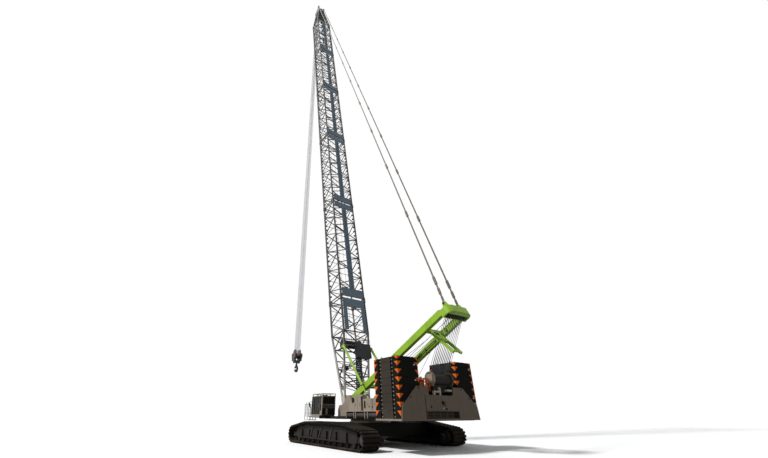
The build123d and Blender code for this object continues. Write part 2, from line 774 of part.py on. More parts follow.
for x in (cab_rear + 11, cab_front - 110):
    guard.append(block(x - 11, x + 11, cab_inner, cab_outer, cab_roof + 60, cab_roof + 82))
save("cab_shell", join([shell] + guard))

# ===== boom =====
boom_place = Pos(foot_x, 0, foot_z) * Rot(0, lean, 0)


def chord(start, end):
    return sided_rod(start, end, chord_flat / 2, rod_sides, x_dir=(1, 0, 0))


def lattice(corner, side_steps, face_steps):
    shapes = []
    for side in (-1, 1):
        for i in range(len(side_steps) - 1):
            a = -1 if i % 2 == 0 else 1
            start = corner(side_steps[i], a, side)
            end = corner(side_steps[i + 1], -a, side)
            shapes.append(bar(start, end, brace_size, x_dir=(0, 1, 0)))
    for deep in (-1, 1):
        for i in range(len(face_steps) - 1):
            a = -1 if i % 2 == 0 else 1
            start = corner(face_steps[i], deep, a)
            end = corner(face_steps[i + 1], deep, -a)
            shapes.append(bar(start, end, brace_size, x_dir=(1, 0, 0)))
    return shapes


def frame_at(corner, s):
    shapes = []
    for side in (-1, 1):
        shapes.append(bar(corner(s, -1, side), corner(s, 1, side), brace_size, x_dir=(0, 1, 0)))
    for deep in (-1, 1):
        shapes.append(bar(corner(s, deep, -1), corner(s, deep, 1), brace_size, x_dir=(1, 0, 0)))
    return shapes


def straight_corner(s, deep, side):
    return (deep * half_deep, side * half_wide, s)


def end_lugs(s0, s1):
    shapes = []
    for deep in (-1, 1):
        for side in (-1, 1):
            x = deep * half_deep
            y = side * half_wide
            shapes.append(block(x - 52, x + 52, y - 44, y + 44, s0, s1))
    return shapes


lug_length = 130
margin = 70
steps = [margin + (section_length - 2 * margin) * i / (2 * bays) for i in range(2 * bays + 1)]
section = [chord(straight_corner(0, deep, side), straight_corner(section_length, deep, side)) for deep in (-1, 1) for side in (-1, 1)]
section += lattice(straight_corner, steps, steps)
section += frame_at(straight_corner, margin)
section += frame_at(straight_corner, section_length - margin)
section += end_lugs(0, lug_length)
section += end_lugs(section_length - lug_length, section_length)
section = join(section)
for k in range(section_count):
    save("boom_section_" + str(k + 1), boom_place * Pos(0, 0, butt_length + k * section_length) * section)

# Butt: the chords spread from the two foot eyes to the full section.
butt = []
for deep in (-1, 1):
    for side in (-1, 1):
        butt.append(chord(butt_corner(300, deep, side), butt_corner(spread_end, deep, side)))
        butt.append(chord(straight_corner(spread_end - 20, deep, side), straight_corner(butt_length, deep, side)))
for side in (-1, 1):
    y = side * foot_half
    foot = plate([(-92, 0), (92, 0), (138, 460), (-138, 460)], y - foot_thick / 2, y + foot_thick / 2)
    foot = foot + drum(0, 0, 108, y - foot_thick / 2, y + foot_thick / 2)
    foot = foot - drum(0, 0, pin_radius + pin_play, y - foot_thick, y + foot_thick)
    butt.append(foot)
butt.append(block(-70, 70, -foot_half, foot_half, 330, 450))
butt += lattice(butt_corner, [560, 1150, 1750, 2380, 3000, 3600, 4150, butt_length - margin], [450, 1300, 2200, 3000, 3780, butt_length - margin])
butt += frame_at(butt_corner, butt_length - margin)
butt += frame_at(butt_corner, spread_end)
butt += end_lugs(butt_length - lug_length, butt_length)

# A third winch sits on cross tubes inside the butt.
boom_winch_s = 2560
boom_winch_radius = 215
boom_winch_half = 420
deep_there = butt_corner(boom_winch_s, 1, 1)[0]
wide_there = butt_corner(boom_winch_s, 1, 1)[1]
for deep in (-1, 1):
    x = deep * deep_there
    butt.append(block(x - 24, x + 24, -wide_there, wide_there, boom_winch_s - 190, boom_winch_s - 142))
save("boom_butt", boom_place * join(butt))
winch_plates = []
reach = deep_there - 24
for side in (-1, 1):
    y = side * boom_winch_half
    winch_plates.append(block(-reach, reach, y - 14, y + 14, boom_winch_s - 190, boom_winch_s - 120))
    winch_plates.append(block(-150, 150, y - 14, y + 14, boom_winch_s - 190, boom_winch_s))
    winch_plates.append(prism(0, boom_winch_s, boom_winch_radius + 20, y - 14, y + 14, wheel_sides))
winch_plates.append(drum(0, boom_winch_s, 36, -boom_winch_half, boom_winch_half))
boom_drum = [prism(0, boom_winch_s, boom_winch_radius * 0.7, -boom_winch_half + 30, boom_winch_half - 30, wheel_sides)]
for side in (-1, 1):
    y = side * (boom_winch_half - 34)
    boom_drum.append(prism(0, boom_winch_s, boom_winch_radius, y - 12, y + 12, wheel_sides))
save("boom_winch_frame", boom_place * join(winch_plates))
save("boom_winch_drum", boom_place * (join(boom_drum) - drum(0, boom_winch_s, 40, -500, 500)))

# Head: the section tapers to two side plates that carry the sheaves.
head_start = butt_length + section_count * section_length
head_end = head_start + head_length
taper_end = head_length - 900
nose_half = 262


def head_corner(s, deep, side):
    part = min(1, max(0, s / taper_end))
    front = half_deep + (300 - half_deep) * part
    back = half_deep + (300 - half_deep) * part
    y = half_wide + (nose_half - half_wide) * part
    return ((front if deep > 0 else -back), side * y, s)


sheave_s = head_length - head_sheave_back
sheave_world = Vector(foot_x, 0, foot_z) + Vector(math.sin(math.radians(lean)), 0, math.cos(math.radians(lean))) * (head_start + sheave_s)
sheave_d = head_sheave_reach
hook_x = sheave_world.X + sheave_d * math.cos(math.radians(lean))
sheave_centre_z = sheave_world.Z - sheave_d * math.sin(math.radians(lean))
head = []
for deep in (-1, 1):
    for side in (-1, 1):
        head.append(chord(head_corner(70, deep, side), head_corner(taper_end + 60, deep, side)))
head += lattice(head_corner, [margin, 620, 1150, 1660, 2150, 2640, taper_end], [margin, 700, 1330, 1950, 2550, taper_end])
head += frame_at(head_corner, margin)
head += frame_at(head_corner, taper_end)
head += end_lugs(0, lug_length)
nose_points = [
    (-340, taper_end - 60),
    (340, taper_end - 60),
    (sheave_d + 90, sheave_s - 150),
    (sheave_d + 90, sheave_s + 90),
    (-250, head_length),
    (-360, head_length - 160),
]
for side in (-1, 1):
    y = side * (nose_half - 10)
    head.append(plate(nose_points, y - 14, y + 14))
head.append(drum(sheave_d, sheave_s, 34, -nose_half, nose_half))
head.append(drum(-150, sheave_s - 380, 34, -nose_half, nose_half))
head.append(block(-330, 330, -nose_half, nose_half, taper_end - 60, taper_end - 36))
pendant_head_d = -330
pendant_head_s = head_length - 300
for side in (-1, 1):
    for y in (side * pendant_y - 34, side * pendant_y + 34):
        ear = block(pendant_head_d - 55, pendant_head_d + 130, y - 9, y + 9, pendant_head_s - 60, pendant_head_s + 60)
        head.append(ear - drum(pendant_head_d, pendant_head_s, 25, y - 20, y + 20))
head.append(block(pendant_head_d + 90, pendant_head_d + 130, -pendant_y - 42, pendant_y + 42, pendant_head_s - 60, pendant_head_s + 60))
head_place = boom_place * Pos(0, 0, head_start)
save("boom_head", head_place * join(head))


def sheave(x, z, radius, y, thick, bore):
    # Two rims with the narrower groove disc between them.
    rim = thick * 0.3
    steps = [(-thick / 2, rim - thick / 2, radius), (rim - thick / 2, thick / 2 - rim, radius - groove_depth), (thick / 2 - rim, thick / 2, radius)]
    discs = [prism(x, z, size, y + y0, y + y1, sheave_sides) for y0, y1, size in steps]
    return join(discs) - prism(x, z, bore, y - thick, y + thick, sheave_sides)


rope_rows = [rope_pitch * (k - 1.5) for k in range(4)]
head_sheaves = [sheave(sheave_d, sheave_s, head_sheave_radius, y, 40, 36) for y in rope_rows]
guide_sheaves = [sheave(-150, sheave_s - 380, head_sheave_radius, y, 40, 36) for y in (-30, 30)]
save("head_sheaves", head_place * group(head_sheaves + guide_sheaves))

# Walkway on the rear face, with cross plates at every joint.
walk_half = 145
walk_near = -half_deep - brace_size / 2
walk_far = walk_near - 24
walkway = []
for k in range(section_count):
    base = butt_length + k * section_length
    walkway.append(block(walk_far, walk_near, -walk_half, walk_half, base + 480, base + section_length - 480))
    for low in (base + 60, base + section_length - 470):
        walkway.append(block(walk_far, walk_near, -half_wide + 60, half_wide - 60, low, low + 410))
for side in (-1, 1):
    y0 = side * (half_wide - 60)
    y1 = side * (half_wide - 260)
    walkway.append(block(walk_far, walk_near, min(y0, y1), max(y0, y1), spread_end + 40, butt_length - 480))
walkway.append(block(walk_far, walk_near, -half_wide + 60, half_wide - 60, butt_length - 470, butt_length - 60))
save("boom_walkway", boom_place * group(walkway))

# Backstops ride on the rear chords and end just above their pads at the boom's working angle.
top_x = backstop_top_x
top_z = backstop_top_z
backstops = []
for side in (-1, 1):
    y = side * backstop_y
    top = Vector(top_x, y, top_z)
    foot = Vector(backstop_foot_x, y, backstop_foot_z)
    along = (foot - top).normalized()
    tube_end = top + along * ((foot - top).length - 430)
    foot_back = foot - along * 30
    shapes = [sided_rod(top, tube_end, 48, rod_sides), sided_rod(tube_end - along * 40, foot_back, 27, rod_sides)]
    shapes.append(rod(foot_back, foot, pad_radius))
    shapes.append(sided_rod(tube_end - along * 70, tube_end, 55, rod_sides))
    shapes.append(prism(top_x, top_z, 66, y - 30, y + 30, roller_sides))
    near = side * (rear_there[1] + chord_flat / 2 + 1)
    bracket = block(rear_there[0] - 110, rear_there[0] + 30, min(near, y + side * 30), max(near, y + side * 30), backstop_top_s - 45, backstop_top_s + 45)
    shapes.append(boom_place * bracket)
    backstops.append(join(shapes))
save("backstops", group(backstops))
# ===== mast =====
mast_pin_along = mast_leg_length + mast_pin_beyond
mast_along_x = -math.cos(math.radians(mast_tilt))
mast_along_z = math.sin(math.radians(mast_tilt))
mast_tip_x = mast_foot_x + mast_pin_along * mast_along_x + mast_pin_rise * mast_along_z
mast_tip_z = mast_foot_z + mast_pin_along * mast_along_z - mast_pin_rise * mast_along_x
mast_place = Pos(mast_foot_x, 0, mast_foot_z) * Rot(0, mast_tilt - 90, 0)
leg_spread = mast_head_half - mast_leg_wide / 2


def leg_point(u, side):
    return (0, side * (mast_foot_y + (leg_spread - mast_foot_y) * u / mast_leg_length), u)


legs = []
for side in (-1, 1):
    leg = bar(leg_point(40, side), leg_point(mast_leg_length + 40, side), mast_leg_wide, mast_leg_deep, x_dir=(0, 1, 0))
    eye = drum(0, 0, 105, side * mast_foot_y - mast_leg_wide / 2, side * mast_foot_y + mast_leg_wide / 2)
    leg = leg + eye - drum(0, 0, pin_radius + pin_play, side * mast_foot_y - 120, side * mast_foot_y + 120)
    legs.append(leg)
for u in (mast_cross_low, mast_cross_mid, mast_cross_high):
    legs.append(bar(leg_point(u, -1), leg_point(u, 1), 110, 110, x_dir=(0, 0, 1)))
for side in (-1, 1):
    a = leg_point(mast_cross_low + 60, side)
    b = leg_point(mast_cross_mid - 60, -side)
    legs.append(bar(a, b, 66, 66, x_dir=(1, 0, 0)))


# Two erecting struts hang below the top cross beam.
def strut_point(part, side):
    return (strut_reach * part, side * strut_y, mast_cross_high + strut_along * part)


for side in (-1, 1):
    legs.append(bar(strut_point(0, side), strut_point(1, side), 76, 76, x_dir=(0, 1, 0)))
for part in (0.5, 0.93):
    legs.append(bar(strut_point(part, -1), strut_point(part, 1), 50, 50, x_dir=(0, 0, 1)))
legs = join(legs) - block(-1000, 1000, -1000, 1000, mast_leg_length, mast_leg_length + 600)
save("mast_legs", mast_place * legs)

# The head is a box with a round far end, a well for the sheaves below and lugs for the pendants above.
head_low = mast_leg_length
head_high = head_low + mast_head_length
head_base = mast_head_rise - mast_head_thick
round_corner = 220
well_half = mast_head_half - 60
cap = block(head_base, mast_head_rise, -mast_head_half, mast_head_half, head_low, head_high)
far_edges = cap.edges().filter_by(Axis.X).group_by(Axis.Z)[-1]
cap = fillet(far_edges, round_corner)
cap = cap - block(head_base - 5, mast_head_rise - 50, -well_half, well_half, head_low + 14, head_low + 204)
axle_x = head_base + 84
axle_z = head_low + 109
cap_shapes = [cap, drum(axle_x, axle_z, 30, -well_half - 4, well_half + 4)]
lug_points = [
    (mast_head_rise - 10, mast_pin_along - 130),
    (mast_head_rise - 10, mast_pin_along + 110),
    (mast_pin_rise + 45, mast_pin_along + 45),
    (mast_pin_rise + 45, mast_pin_along - 45),
]
for side in (-1, 1):
    for y in (side * pendant_y - 33, side * pendant_y + 33):
        cap_shapes.append(plate(lug_points, y - 9, y + 9))
save("mast_head", mast_place * join(cap_shapes))
mast_rows = [mast_sheave_pitch * (k - 3.5) for k in range(8)]
mast_sheaves = [sheave(axle_x, axle_z, mast_sheave_radius, y, 46, 32) for y in mast_rows]
save("mast_sheaves", mast_place * group(mast_sheaves))

# ===== pendants =====
pin_local = Vector(pendant_head_d, 0, head_start + pendant_head_s)
pendant_top = Vector(
    foot_x + pin_local.Z * to_world_x + pin_local.X * to_world_z,
    0,
    foot_z + pin_local.Z * to_world_z - pin_local.X * to_world_x,
)
pendant_low = Vector(mast_tip_x, 0, mast_tip_z)
pendant_run = pendant_low - pendant_top
pendant_length = pendant_run.length
pendant_turn = math.degrees(math.atan2(pendant_run.X, pendant_run.Z))
pendant_place = Pos(pendant_top.X, 0, pendant_top.Z) * Rot(0, pendant_turn, 0)
unit = (pendant_length - 900) / pendant_bars


def pendant(side):
    y = side * pendant_y
    shapes = [drum(0, 0, 23, y - 46, y + 46), block(-34, 34, y - 9, y + 9, -50, 120)]
    start = 30
    for k in range(pendant_bars):
        low = start + k * unit
        shapes.append(block(-26, 26, y - 11, y + 11, low + 60, low + unit - 60))
        shapes.append(block(-42, 42, y - 23, y + 23, low + unit - 150, low + unit + 150))
    # Short joint links run from the last bar down to the mast head.
    low = start + pendant_bars * unit
    rest = pendant_length - low
    shapes.append(block(-26, 26, y - 11, y + 11, low, low + rest - 200))
    shapes.append(block(-40, 40, y - 19, y + 19, low + rest * 0.35, low + rest * 0.62))
    shapes.append(block(-38, 38, y - 9, y + 9, low + rest - 240, pendant_length))
    shapes.append(drum(0, pendant_length, 38, y - 9, y + 9))
    return join(shapes)


save("pendants", pendant_place * group([pendant(1), pendant(-1)]))

# ===== hoist line guide and hook =====
line_guide = []
guide_half = 2 * rope_pitch + 24
guide_low = sheave_centre_z - head_sheave_radius - 250
for side in (-1, 1):
    y = side * guide_half
    line_guide.append(block(hook_x - 60, hook_x + 60, y - 9, y + 9, guide_low, sheave_centre_z + 70))
line_guide.append(block(hook_x - 230, hook_x + 230, -guide_half, guide_half, guide_low, guide_low + 24))
slots = []
for y in rope_rows:
    for side in (-1, 1):
        x = hook_x + side * head_sheave_radius
        slots.append(block(x - 20, x + 20, y - 14, y + 14, guide_low - 5, guide_low + 30))
line_guide = join(line_guide) - slots
line_guide = line_guide - drum(hook_x, sheave_centre_z, 36, -guide_half - 20, guide_half + 20)
save("line_guide", line_guide)

hook_mid = hook_top - 330
cheek_y = 2 * rope_pitch + 10
block_points = [
    (hook_x - 150, hook_top),
    (hook_x + 150, hook_top),
    (hook_x + 250, hook_mid + 60),
    (hook_x + 250, hook_mid - 120),
    (hook_x + 110, hook_mid - 420),
    (hook_x - 110, hook_mid - 420),
    (hook_x - 250, hook_mid - 120),
    (hook_x - 250, hook_mid + 60),
]
weight_points = [
    (hook_x - 190, hook_mid + 120),
    (hook_x + 190, hook_mid + 120),
    (hook_x + 215, hook_mid),
    (hook_x + 150, hook_mid - 300),
    (hook_x - 150, hook_mid - 300),
    (hook_x - 215, hook_mid),
]
hook_block = []
for side in (-1, 1):
    y = side * (cheek_y + 12)
    hook_block.append(plate(block_points, y - 12, y + 12))
    y = side * (cheek_y + 24 + 40)
    hook_block.append(plate(weight_points, y - 41, y + 41))
hook_block.append(drum(hook_x, hook_mid, 34, -cheek_y - 4, cheek_y + 4))
hook_block.append(block(hook_x - 90, hook_x + 90, -cheek_y - 4, cheek_y + 4, hook_mid - 400, hook_mid - 310))
hook_block.append(drum(hook_x, hook_top - 60, 22, -cheek_y - 4, cheek_y + 4))
hook_block = join(hook_block) - post(hook_x, 0, 42, hook_mid - 405, hook_mid - 305)
save("hook_block", hook_block)
hook_sheaves = [Pos(hook_x, 0, hook_mid) * sheave(0, 0, hook_sheave_radius, y, 40, 36) for y in rope_rows]
save("hook_sheaves", group(hook_sheaves))

hook_centre = hook_mid - 720
shank = post(hook_x, 0, 38, hook_centre + 120, hook_mid - 280)
nut = post(hook_x, 0, 66, hook_mid - 303, hook_mid - 250)
ring = prism(hook_x, hook_centre, 178, -42, 42, wheel_sides) - prism(hook_x, hook_centre, bowl_radius, -50, 50, wheel_sides)
mouth = block(hook_x - 20, hook_x + 190, -50, 50, hook_centre + 10, hook_centre + 84)
mouth = Pos(hook_x, 0, hook_centre) * Rot(0, 14, 0) * Pos(-hook_x, 0, -hook_centre) * mouth
mouth = mouth & block(hook_x + 40, hook_x + 260, -60, 60, hook_centre - 40, hook_centre + 200)
hook = join([ring - mouth, shank, nut, post(hook_x, 0, 60, hook_centre + 100, hook_centre + 250)])
hook = hook - prism(hook_x, hook_centre, bowl_radius, -60, 60, wheel_sides)
save("hook", hook)
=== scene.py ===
import json
import math

import bmesh
import bpy
from mathutils import Matrix, Vector


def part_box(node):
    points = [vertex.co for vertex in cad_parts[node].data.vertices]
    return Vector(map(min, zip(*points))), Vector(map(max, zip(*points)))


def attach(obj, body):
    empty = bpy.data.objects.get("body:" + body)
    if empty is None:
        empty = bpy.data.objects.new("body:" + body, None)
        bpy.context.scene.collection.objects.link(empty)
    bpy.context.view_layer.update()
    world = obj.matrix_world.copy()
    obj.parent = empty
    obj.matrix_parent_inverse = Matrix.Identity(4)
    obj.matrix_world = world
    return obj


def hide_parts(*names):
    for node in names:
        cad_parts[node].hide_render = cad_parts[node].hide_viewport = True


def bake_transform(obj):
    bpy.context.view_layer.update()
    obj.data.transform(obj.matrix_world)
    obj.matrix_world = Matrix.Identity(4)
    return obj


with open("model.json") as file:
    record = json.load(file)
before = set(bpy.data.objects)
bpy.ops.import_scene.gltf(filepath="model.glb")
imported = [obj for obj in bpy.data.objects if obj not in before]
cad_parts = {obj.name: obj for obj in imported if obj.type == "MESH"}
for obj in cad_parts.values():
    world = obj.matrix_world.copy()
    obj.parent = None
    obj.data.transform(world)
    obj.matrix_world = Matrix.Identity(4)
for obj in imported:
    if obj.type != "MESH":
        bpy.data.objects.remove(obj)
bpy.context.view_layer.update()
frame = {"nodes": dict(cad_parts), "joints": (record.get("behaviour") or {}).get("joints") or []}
bpy.context.view_layer.update()
nodes = frame["nodes"]
joints = {joint["name"]: joint for joint in frame["joints"]}
print("frame loaded")

# the slewing axis, found from the ring under the platform
ringLow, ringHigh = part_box("slewing_ring")
axisX = (ringLow[0] + ringHigh[0]) / 2


def place(x, y, z):
    # millimetres from the slewing axis and the ground, as metres in the frame
    return Vector((axisX + x / 1000, y / 1000, z / 1000))


# finishes: weathered paint with blotches, grain, rain streaks and dust that gathers low down

wearLook = {
    "blotchScale": 1.7,
    "blotchEdges": (0.42, 0.68),
    "blotchTint": (0.62, 0.6, 0.57, 1),
    "streakScale": 1.6,
    "streakStretch": (9, 9, 0.7),
    "streakEdges": (0.48, 0.75),
    "streakTint": (0.45, 0.41, 0.37, 1),
    "grainScale": 38,
    "grainDepth": 0.004,
    "grainInDust": 0.8,
    "grainInRoughness": 0.12,
    "dustTop": 1.3,
    "dustAtTop": 0.25,
    "dustInRoughness": 0.35,
    "dustColor": (0.30, 0.235, 0.165, 1),
}


def feed(tree, node, inputs):
    # an input takes a constant or another node's output
    for key, value in inputs.items():
        if isinstance(value, bpy.types.NodeSocket):
            tree.links.new(value, node.inputs[key])
        else:
            node.inputs[key].default_value = value


def addNode(tree, kind, x, y, inputs=None, **values):
    node = tree.nodes.new(kind)
    node.location = (x, y)
    for key, value in values.items():
        setattr(node, key, value)
    feed(tree, node, inputs or {})
    return node


def addMath(tree, operation, x, y, *values, clamp=False):
    inputs = dict(enumerate(values))
    return addNode(tree, "ShaderNodeMath", x, y, inputs, operation=operation, use_clamp=clamp).outputs[0]


def addNoise(tree, x, y, vector, scale, detail):
    inputs = {"Vector": vector, "Scale": scale, "Detail": detail}
    return addNode(tree, "ShaderNodeTexNoise", x, y, inputs).outputs["Fac"]


def addRange(tree, x, y, value, start, end, least=0.0):
    # a value spread from start to end over least to one
    inputs = {"Value": value, "From Min": start, "From Max": end, "To Min": least}
    return addNode(tree, "ShaderNodeMapRange", x, y, inputs).outputs["Result"]


def addTint(tree, x, y, factor, under, over, blend="MIX"):
    inputs = {"Factor": factor, "A": under, "B": over}
    return addNode(tree, "ShaderNodeMix", x, y, inputs, data_type="RGBA", blend_type=blend).outputs["Result"]


def buildWearGroup(look):
    group = bpy.data.node_groups.new("weatheredPaint", "ShaderNodeTree")
    amounts = [(name, "Float") for name in ("DustAmount", "Blotch", "Streak", "Roughness", "Grain")]
    for name, kind in [("Vector", "Vector"), ("Paint", "Color"), ("Dust", "Color")] + amounts:
        group.interface.new_socket(name, in_out="INPUT", socket_type="NodeSocket" + kind)
    for name, kind in (("Color", "Color"), ("Roughness", "Float"), ("Normal", "Vector")):
        group.interface.new_socket(name, in_out="OUTPUT", socket_type="NodeSocket" + kind)
    given = addNode(group, "NodeGroupInput", -1200, 0).outputs
    vector = given["Vector"]
    stretch = addNode(group, "ShaderNodeMapping", -1050, 60, {"Vector": vector, "Scale": look["streakStretch"]})
    height = addNode(group, "ShaderNodeSeparateXYZ", -900, -520, {0: vector}).outputs["Z"]
    fine = addNoise(group, -900, -300, vector, look["grainScale"], 4)
    blotch = addNoise(group, -900, 300, vector, look["blotchScale"], 5)
    blotch = addRange(group, -700, 300, blotch, *look["blotchEdges"])
    streak = addNoise(group, -900, 60, stretch.outputs["Vector"], look["streakScale"], 3)
    streak = addRange(group, -700, 60, streak, *look["streakEdges"])
    low = addRange(group, -700, -520, height, look["dustTop"], 0.0, look["dustAtTop"])
    dust = addMath(group, "MULTIPLY", -500, -420, low, blotch)
    dust = addMath(group, "MULTIPLY_ADD", -500, -260, fine, look["grainInDust"], dust)
    dust = addMath(group, "MULTIPLY", -320, -340, dust, given["DustAmount"], clamp=True)
    blotch = addMath(group, "MULTIPLY", -500, 260, blotch, given["Blotch"])
    streak = addMath(group, "MULTIPLY", -500, 100, streak, given["Streak"])
    color = addTint(group, -250, 260, blotch, given["Paint"], look["blotchTint"], "MULTIPLY")
    color = addTint(group, -50, 200, streak, color, look["streakTint"], "MULTIPLY")
    color = addTint(group, 200, 100, dust, color, given["Dust"])
    rough = addMath(group, "MULTIPLY_ADD", 0, -120, fine, look["grainInRoughness"], given["Roughness"])
    rough = addMath(group, "MULTIPLY_ADD", 200, -120, dust, look["dustInRoughness"], rough, clamp=True)
    relief = {"Distance": look["grainDepth"], "Strength": given["Grain"], "Height": fine}
    bump = addNode(group, "ShaderNodeBump", 400, -300, relief)
    results = {"Color": color, "Roughness": rough, "Normal": bump.outputs["Normal"]}
    addNode(group, "NodeGroupOutput", 900, 0, results)
    return group


wearGroup = buildWearGroup(wearLook)


def newMaterial(name):
    material = bpy.data.materials.new(name)
    material.use_nodes = True
    return material, material.node_tree, material.node_tree.nodes["Principled BSDF"]


def paint(name, color, roughness=0.5, metallic=0.0, dust=0.1, blotch=0.5, streak=0.4, grain=0.25, shine=0.4):
    material, tree, shader = newMaterial(name)
    values = {
        "Vector": addNode(tree, "ShaderNodeTexCoord", -600, 0).outputs["Object"],
        "Paint": (*color, 1),
        "Dust": wearLook["dustColor"],
        "DustAmount": dust,
        "Blotch": blotch,
        "Streak": streak,
        "Roughness": roughness,
        "Grain": grain,
    }
    wear = addNode(tree, "ShaderNodeGroup", -300, 0, values, node_tree=wearGroup).outputs
    inputs = {"Base Color": wear["Color"], "Roughness": wear["Roughness"], "Normal": wear["Normal"]}
    feed(tree, shader, {**inputs, "Metallic": metallic, "Specular IOR Level": shine})
    return material


def glassFinish(name, color, roughness, clearness, shine):
    material, tree, shader = newMaterial(name)
    inputs = {"Base Color": (*color, 1), "Roughness": roughness, "Transmission Weight": clearness}
    feed(tree, shader, {**inputs, "IOR": 1.45, "Specular IOR Level": shine})
    return material


finishes = {
    "belt": paint(
        "beltSteel", (0.008, 0.007, 0.006), roughness=0.8, dust=0.12, streak=0.1, grain=0.6, shine=0.06
    ),
    "chassis": paint(
        "chassisBlack", (0.011, 0.011, 0.0105), roughness=0.65, dust=0.04, blotch=0.4, streak=0.3, shine=0.15
    ),
    "rib": paint("ribPaint", (0.08, 0.068, 0.055), roughness=0.6, dust=0.2, blotch=0.4, streak=0.3, shine=0.2),
    "ring": paint("ringSteel", (0.28, 0.26, 0.23), roughness=0.38, metallic=0.9, dust=0.3),
    "taupe": paint("taupePaint", (0.29, 0.242, 0.192), roughness=0.45, dust=0.15, blotch=0.4),
    # a darker copy of the taupe paint: painted shade for the rear plate and winch frames, which face away from
    # the sun
    "taupePaintedShade": paint("taupePaintedShade", (0.15, 0.118, 0.09), roughness=0.55, blotch=0.4, streak=0.3, shine=0.2),
    "cream": paint("creamPaint", (0.52, 0.46, 0.38)),
    "weight": paint(
        "weightCharcoal", (0.011, 0.0112, 0.011), roughness=0.8, dust=0.02, streak=0.5, grain=0.7, shine=0.04
    ),
    "weightDusty": paint(
        "weightDusty", (0.02, 0.018, 0.016), roughness=0.75, dust=0.17, streak=0.5, grain=0.7, shine=0.1
    ),
    "darkSteel": paint("darkSteel", (0.03, 0.03, 0.032), metallic=0.3, dust=0.08, shine=0.25),
    "boom": paint("boomSilver", (0.6, 0.565, 0.54)),
    # a dark copy of the pale boom paint for braces, struts and collars: painted shade, since the braces sit in
    # the boom's shade
    "lacingShadeGrey": paint("lacingPaintedShade", (0.085, 0.08, 0.08), metallic=0.1, dust=0.08, streak=0.5, shine=0.25),
    "grating": paint("gratingBlue", (0.13, 0.19, 0.25), metallic=0.1),
    "lime": paint("limePaint", (0.26, 0.47, 0.008), roughness=0.4, dust=0.06, blotch=0.4, streak=0.3),
    "limeDark": paint("limeDark", (0.11, 0.2, 0.012), blotch=0.6, streak=0.5),
    # yellow for the short ticks along the mast legs' top edges: painted highlights
    "highlightYellow": paint("yellowPaintedHighlight", (0.6, 0.62, 0.01), roughness=0.45, dust=0.05),
    "barGrey": paint("barGrey", (0.17, 0.145, 0.125), metallic=0.1, dust=0.2),
    "hook": paint("hookPaint", (0.06, 0.08, 0.1), metallic=0.1, dust=0.15, shine=0.25),
    "seat": paint("seatCloth", (0.02, 0.02, 0.022), roughness=0.8, blotch=0.3, streak=0.0, grain=0.8),
    "orange": paint(
        "warningOrange", (0.82, 0.15, 0.01), roughness=0.6, dust=0.05, blotch=0.3, streak=0.3, shine=0.15
    ),
    "rope": paint("wireRope", (0.1, 0.103, 0.11), metallic=0.4, dust=0.05, blotch=0.3, streak=0.0, grain=0.8),
    "paleRope": paint(
        "paleRope", (0.72, 0.74, 0.78), metallic=0.2, dust=0.02, blotch=0.3, streak=0.0, grain=0.8
    ),
    "winding": paint(
        "windingDark", (0.022, 0.021, 0.02),
        roughness=0.6, metallic=0.3, dust=0.08, blotch=0.3, streak=0.0, grain=0.8, shine=0.2,
    ),
    "paleSteel": paint("paleSteel", (0.4, 0.38, 0.35), roughness=0.45, metallic=0.3, dust=0.15),
    "gratingDark": paint("gratingDark", (0.03, 0.06, 0.09), metallic=0.1, dust=0.05),
    "meshGrey": paint("meshGrey", (0.05, 0.056, 0.07), roughness=0.55, metallic=0.1, dust=0.05, shine=0.2),
    # brown of the pipes in the recess, darkened further as painted shade of the recess
    "recessBrownAndShade": paint("recessBrownAndShade", (0.05, 0.034, 0.018), roughness=0.6, streak=0.3, shine=0.15),
    "white": paint("whiteRail", (0.68, 0.68, 0.68), roughness=0.4),
    "tank": paint("tankGrey", (0.04, 0.039, 0.037), metallic=0.1, dust=0.08, shine=0.25),
    "trim": paint(
        "cabTrim", (0.009, 0.01, 0.009), roughness=0.3, dust=0.02, blotch=0.2, streak=0.1, grain=0.05, shine=0.1
    ),
    "trimGrey": paint(
        "cabTrimGrey", (0.06, 0.064, 0.068),
        roughness=0.4, dust=0.05, blotch=0.3, streak=0.3, grain=0.1, shine=0.25,
    ),
    "glass": glassFinish("cabGlass", (0.006, 0.008, 0.007), roughness=0.06, clearness=0.12, shine=0.12),
}

boomNodes = ["boom_butt", *[f"boom_section_{k}" for k in range(1, 6)], "boom_head"]
nodeFinish = {
    "belt": ["tracks"],
    "chassis": ["track_frames", "track_wheels", "travel_drives", "car_body", "cab_arm"],
    "ring": ["slewing_ring"],
    "taupe": ["platform_frame", "left_cabinets", "engine_house", "counterweight_tray", "cab_shell", "cab_door"],
    # the rear plate and winch frames take the darker taupe copy, which is painted shade
    "taupePaintedShade": ["rear_plate", "winch_frames", "luffing_winch_frame"],
    "weight": ["counterweights"],
    "darkSteel": [
        "main_winch_drum", "second_winch_drum", "luffing_winch_drum", "boom_winch_drum", "boom_winch_frame",
        "right_walkway", "head_sheaves", "mast_sheaves", "hook_sheaves", "hook",
    ],
    "boom": [*boomNodes, "line_guide"],
    "grating": ["boom_walkway"],
    "lime": ["mast_legs", "mast_head", "backstops"],
    "barGrey": ["pendants"],
    "hook": ["hook_block"],
    "seat": ["operator_station"],
    "glass": ["cab_glass", "cab_door_glass"],
}
for finish, names in nodeFinish.items():
    for name in names:
        mesh = nodes[name].data
        mesh.materials.clear()
        mesh.materials.append(finishes[finish])


def splitFinish(name, finish, test):
    # a second finish on the faces of one piece whose middle passes the test
    mesh = nodes[name].data
    mesh.materials.append(finishes[finish])
    slot = len(mesh.materials) - 1
    toFrame = nodes[name].matrix_world
    for face in mesh.polygons:
        if test(toFrame @ face.center):
            face.material_index = slot


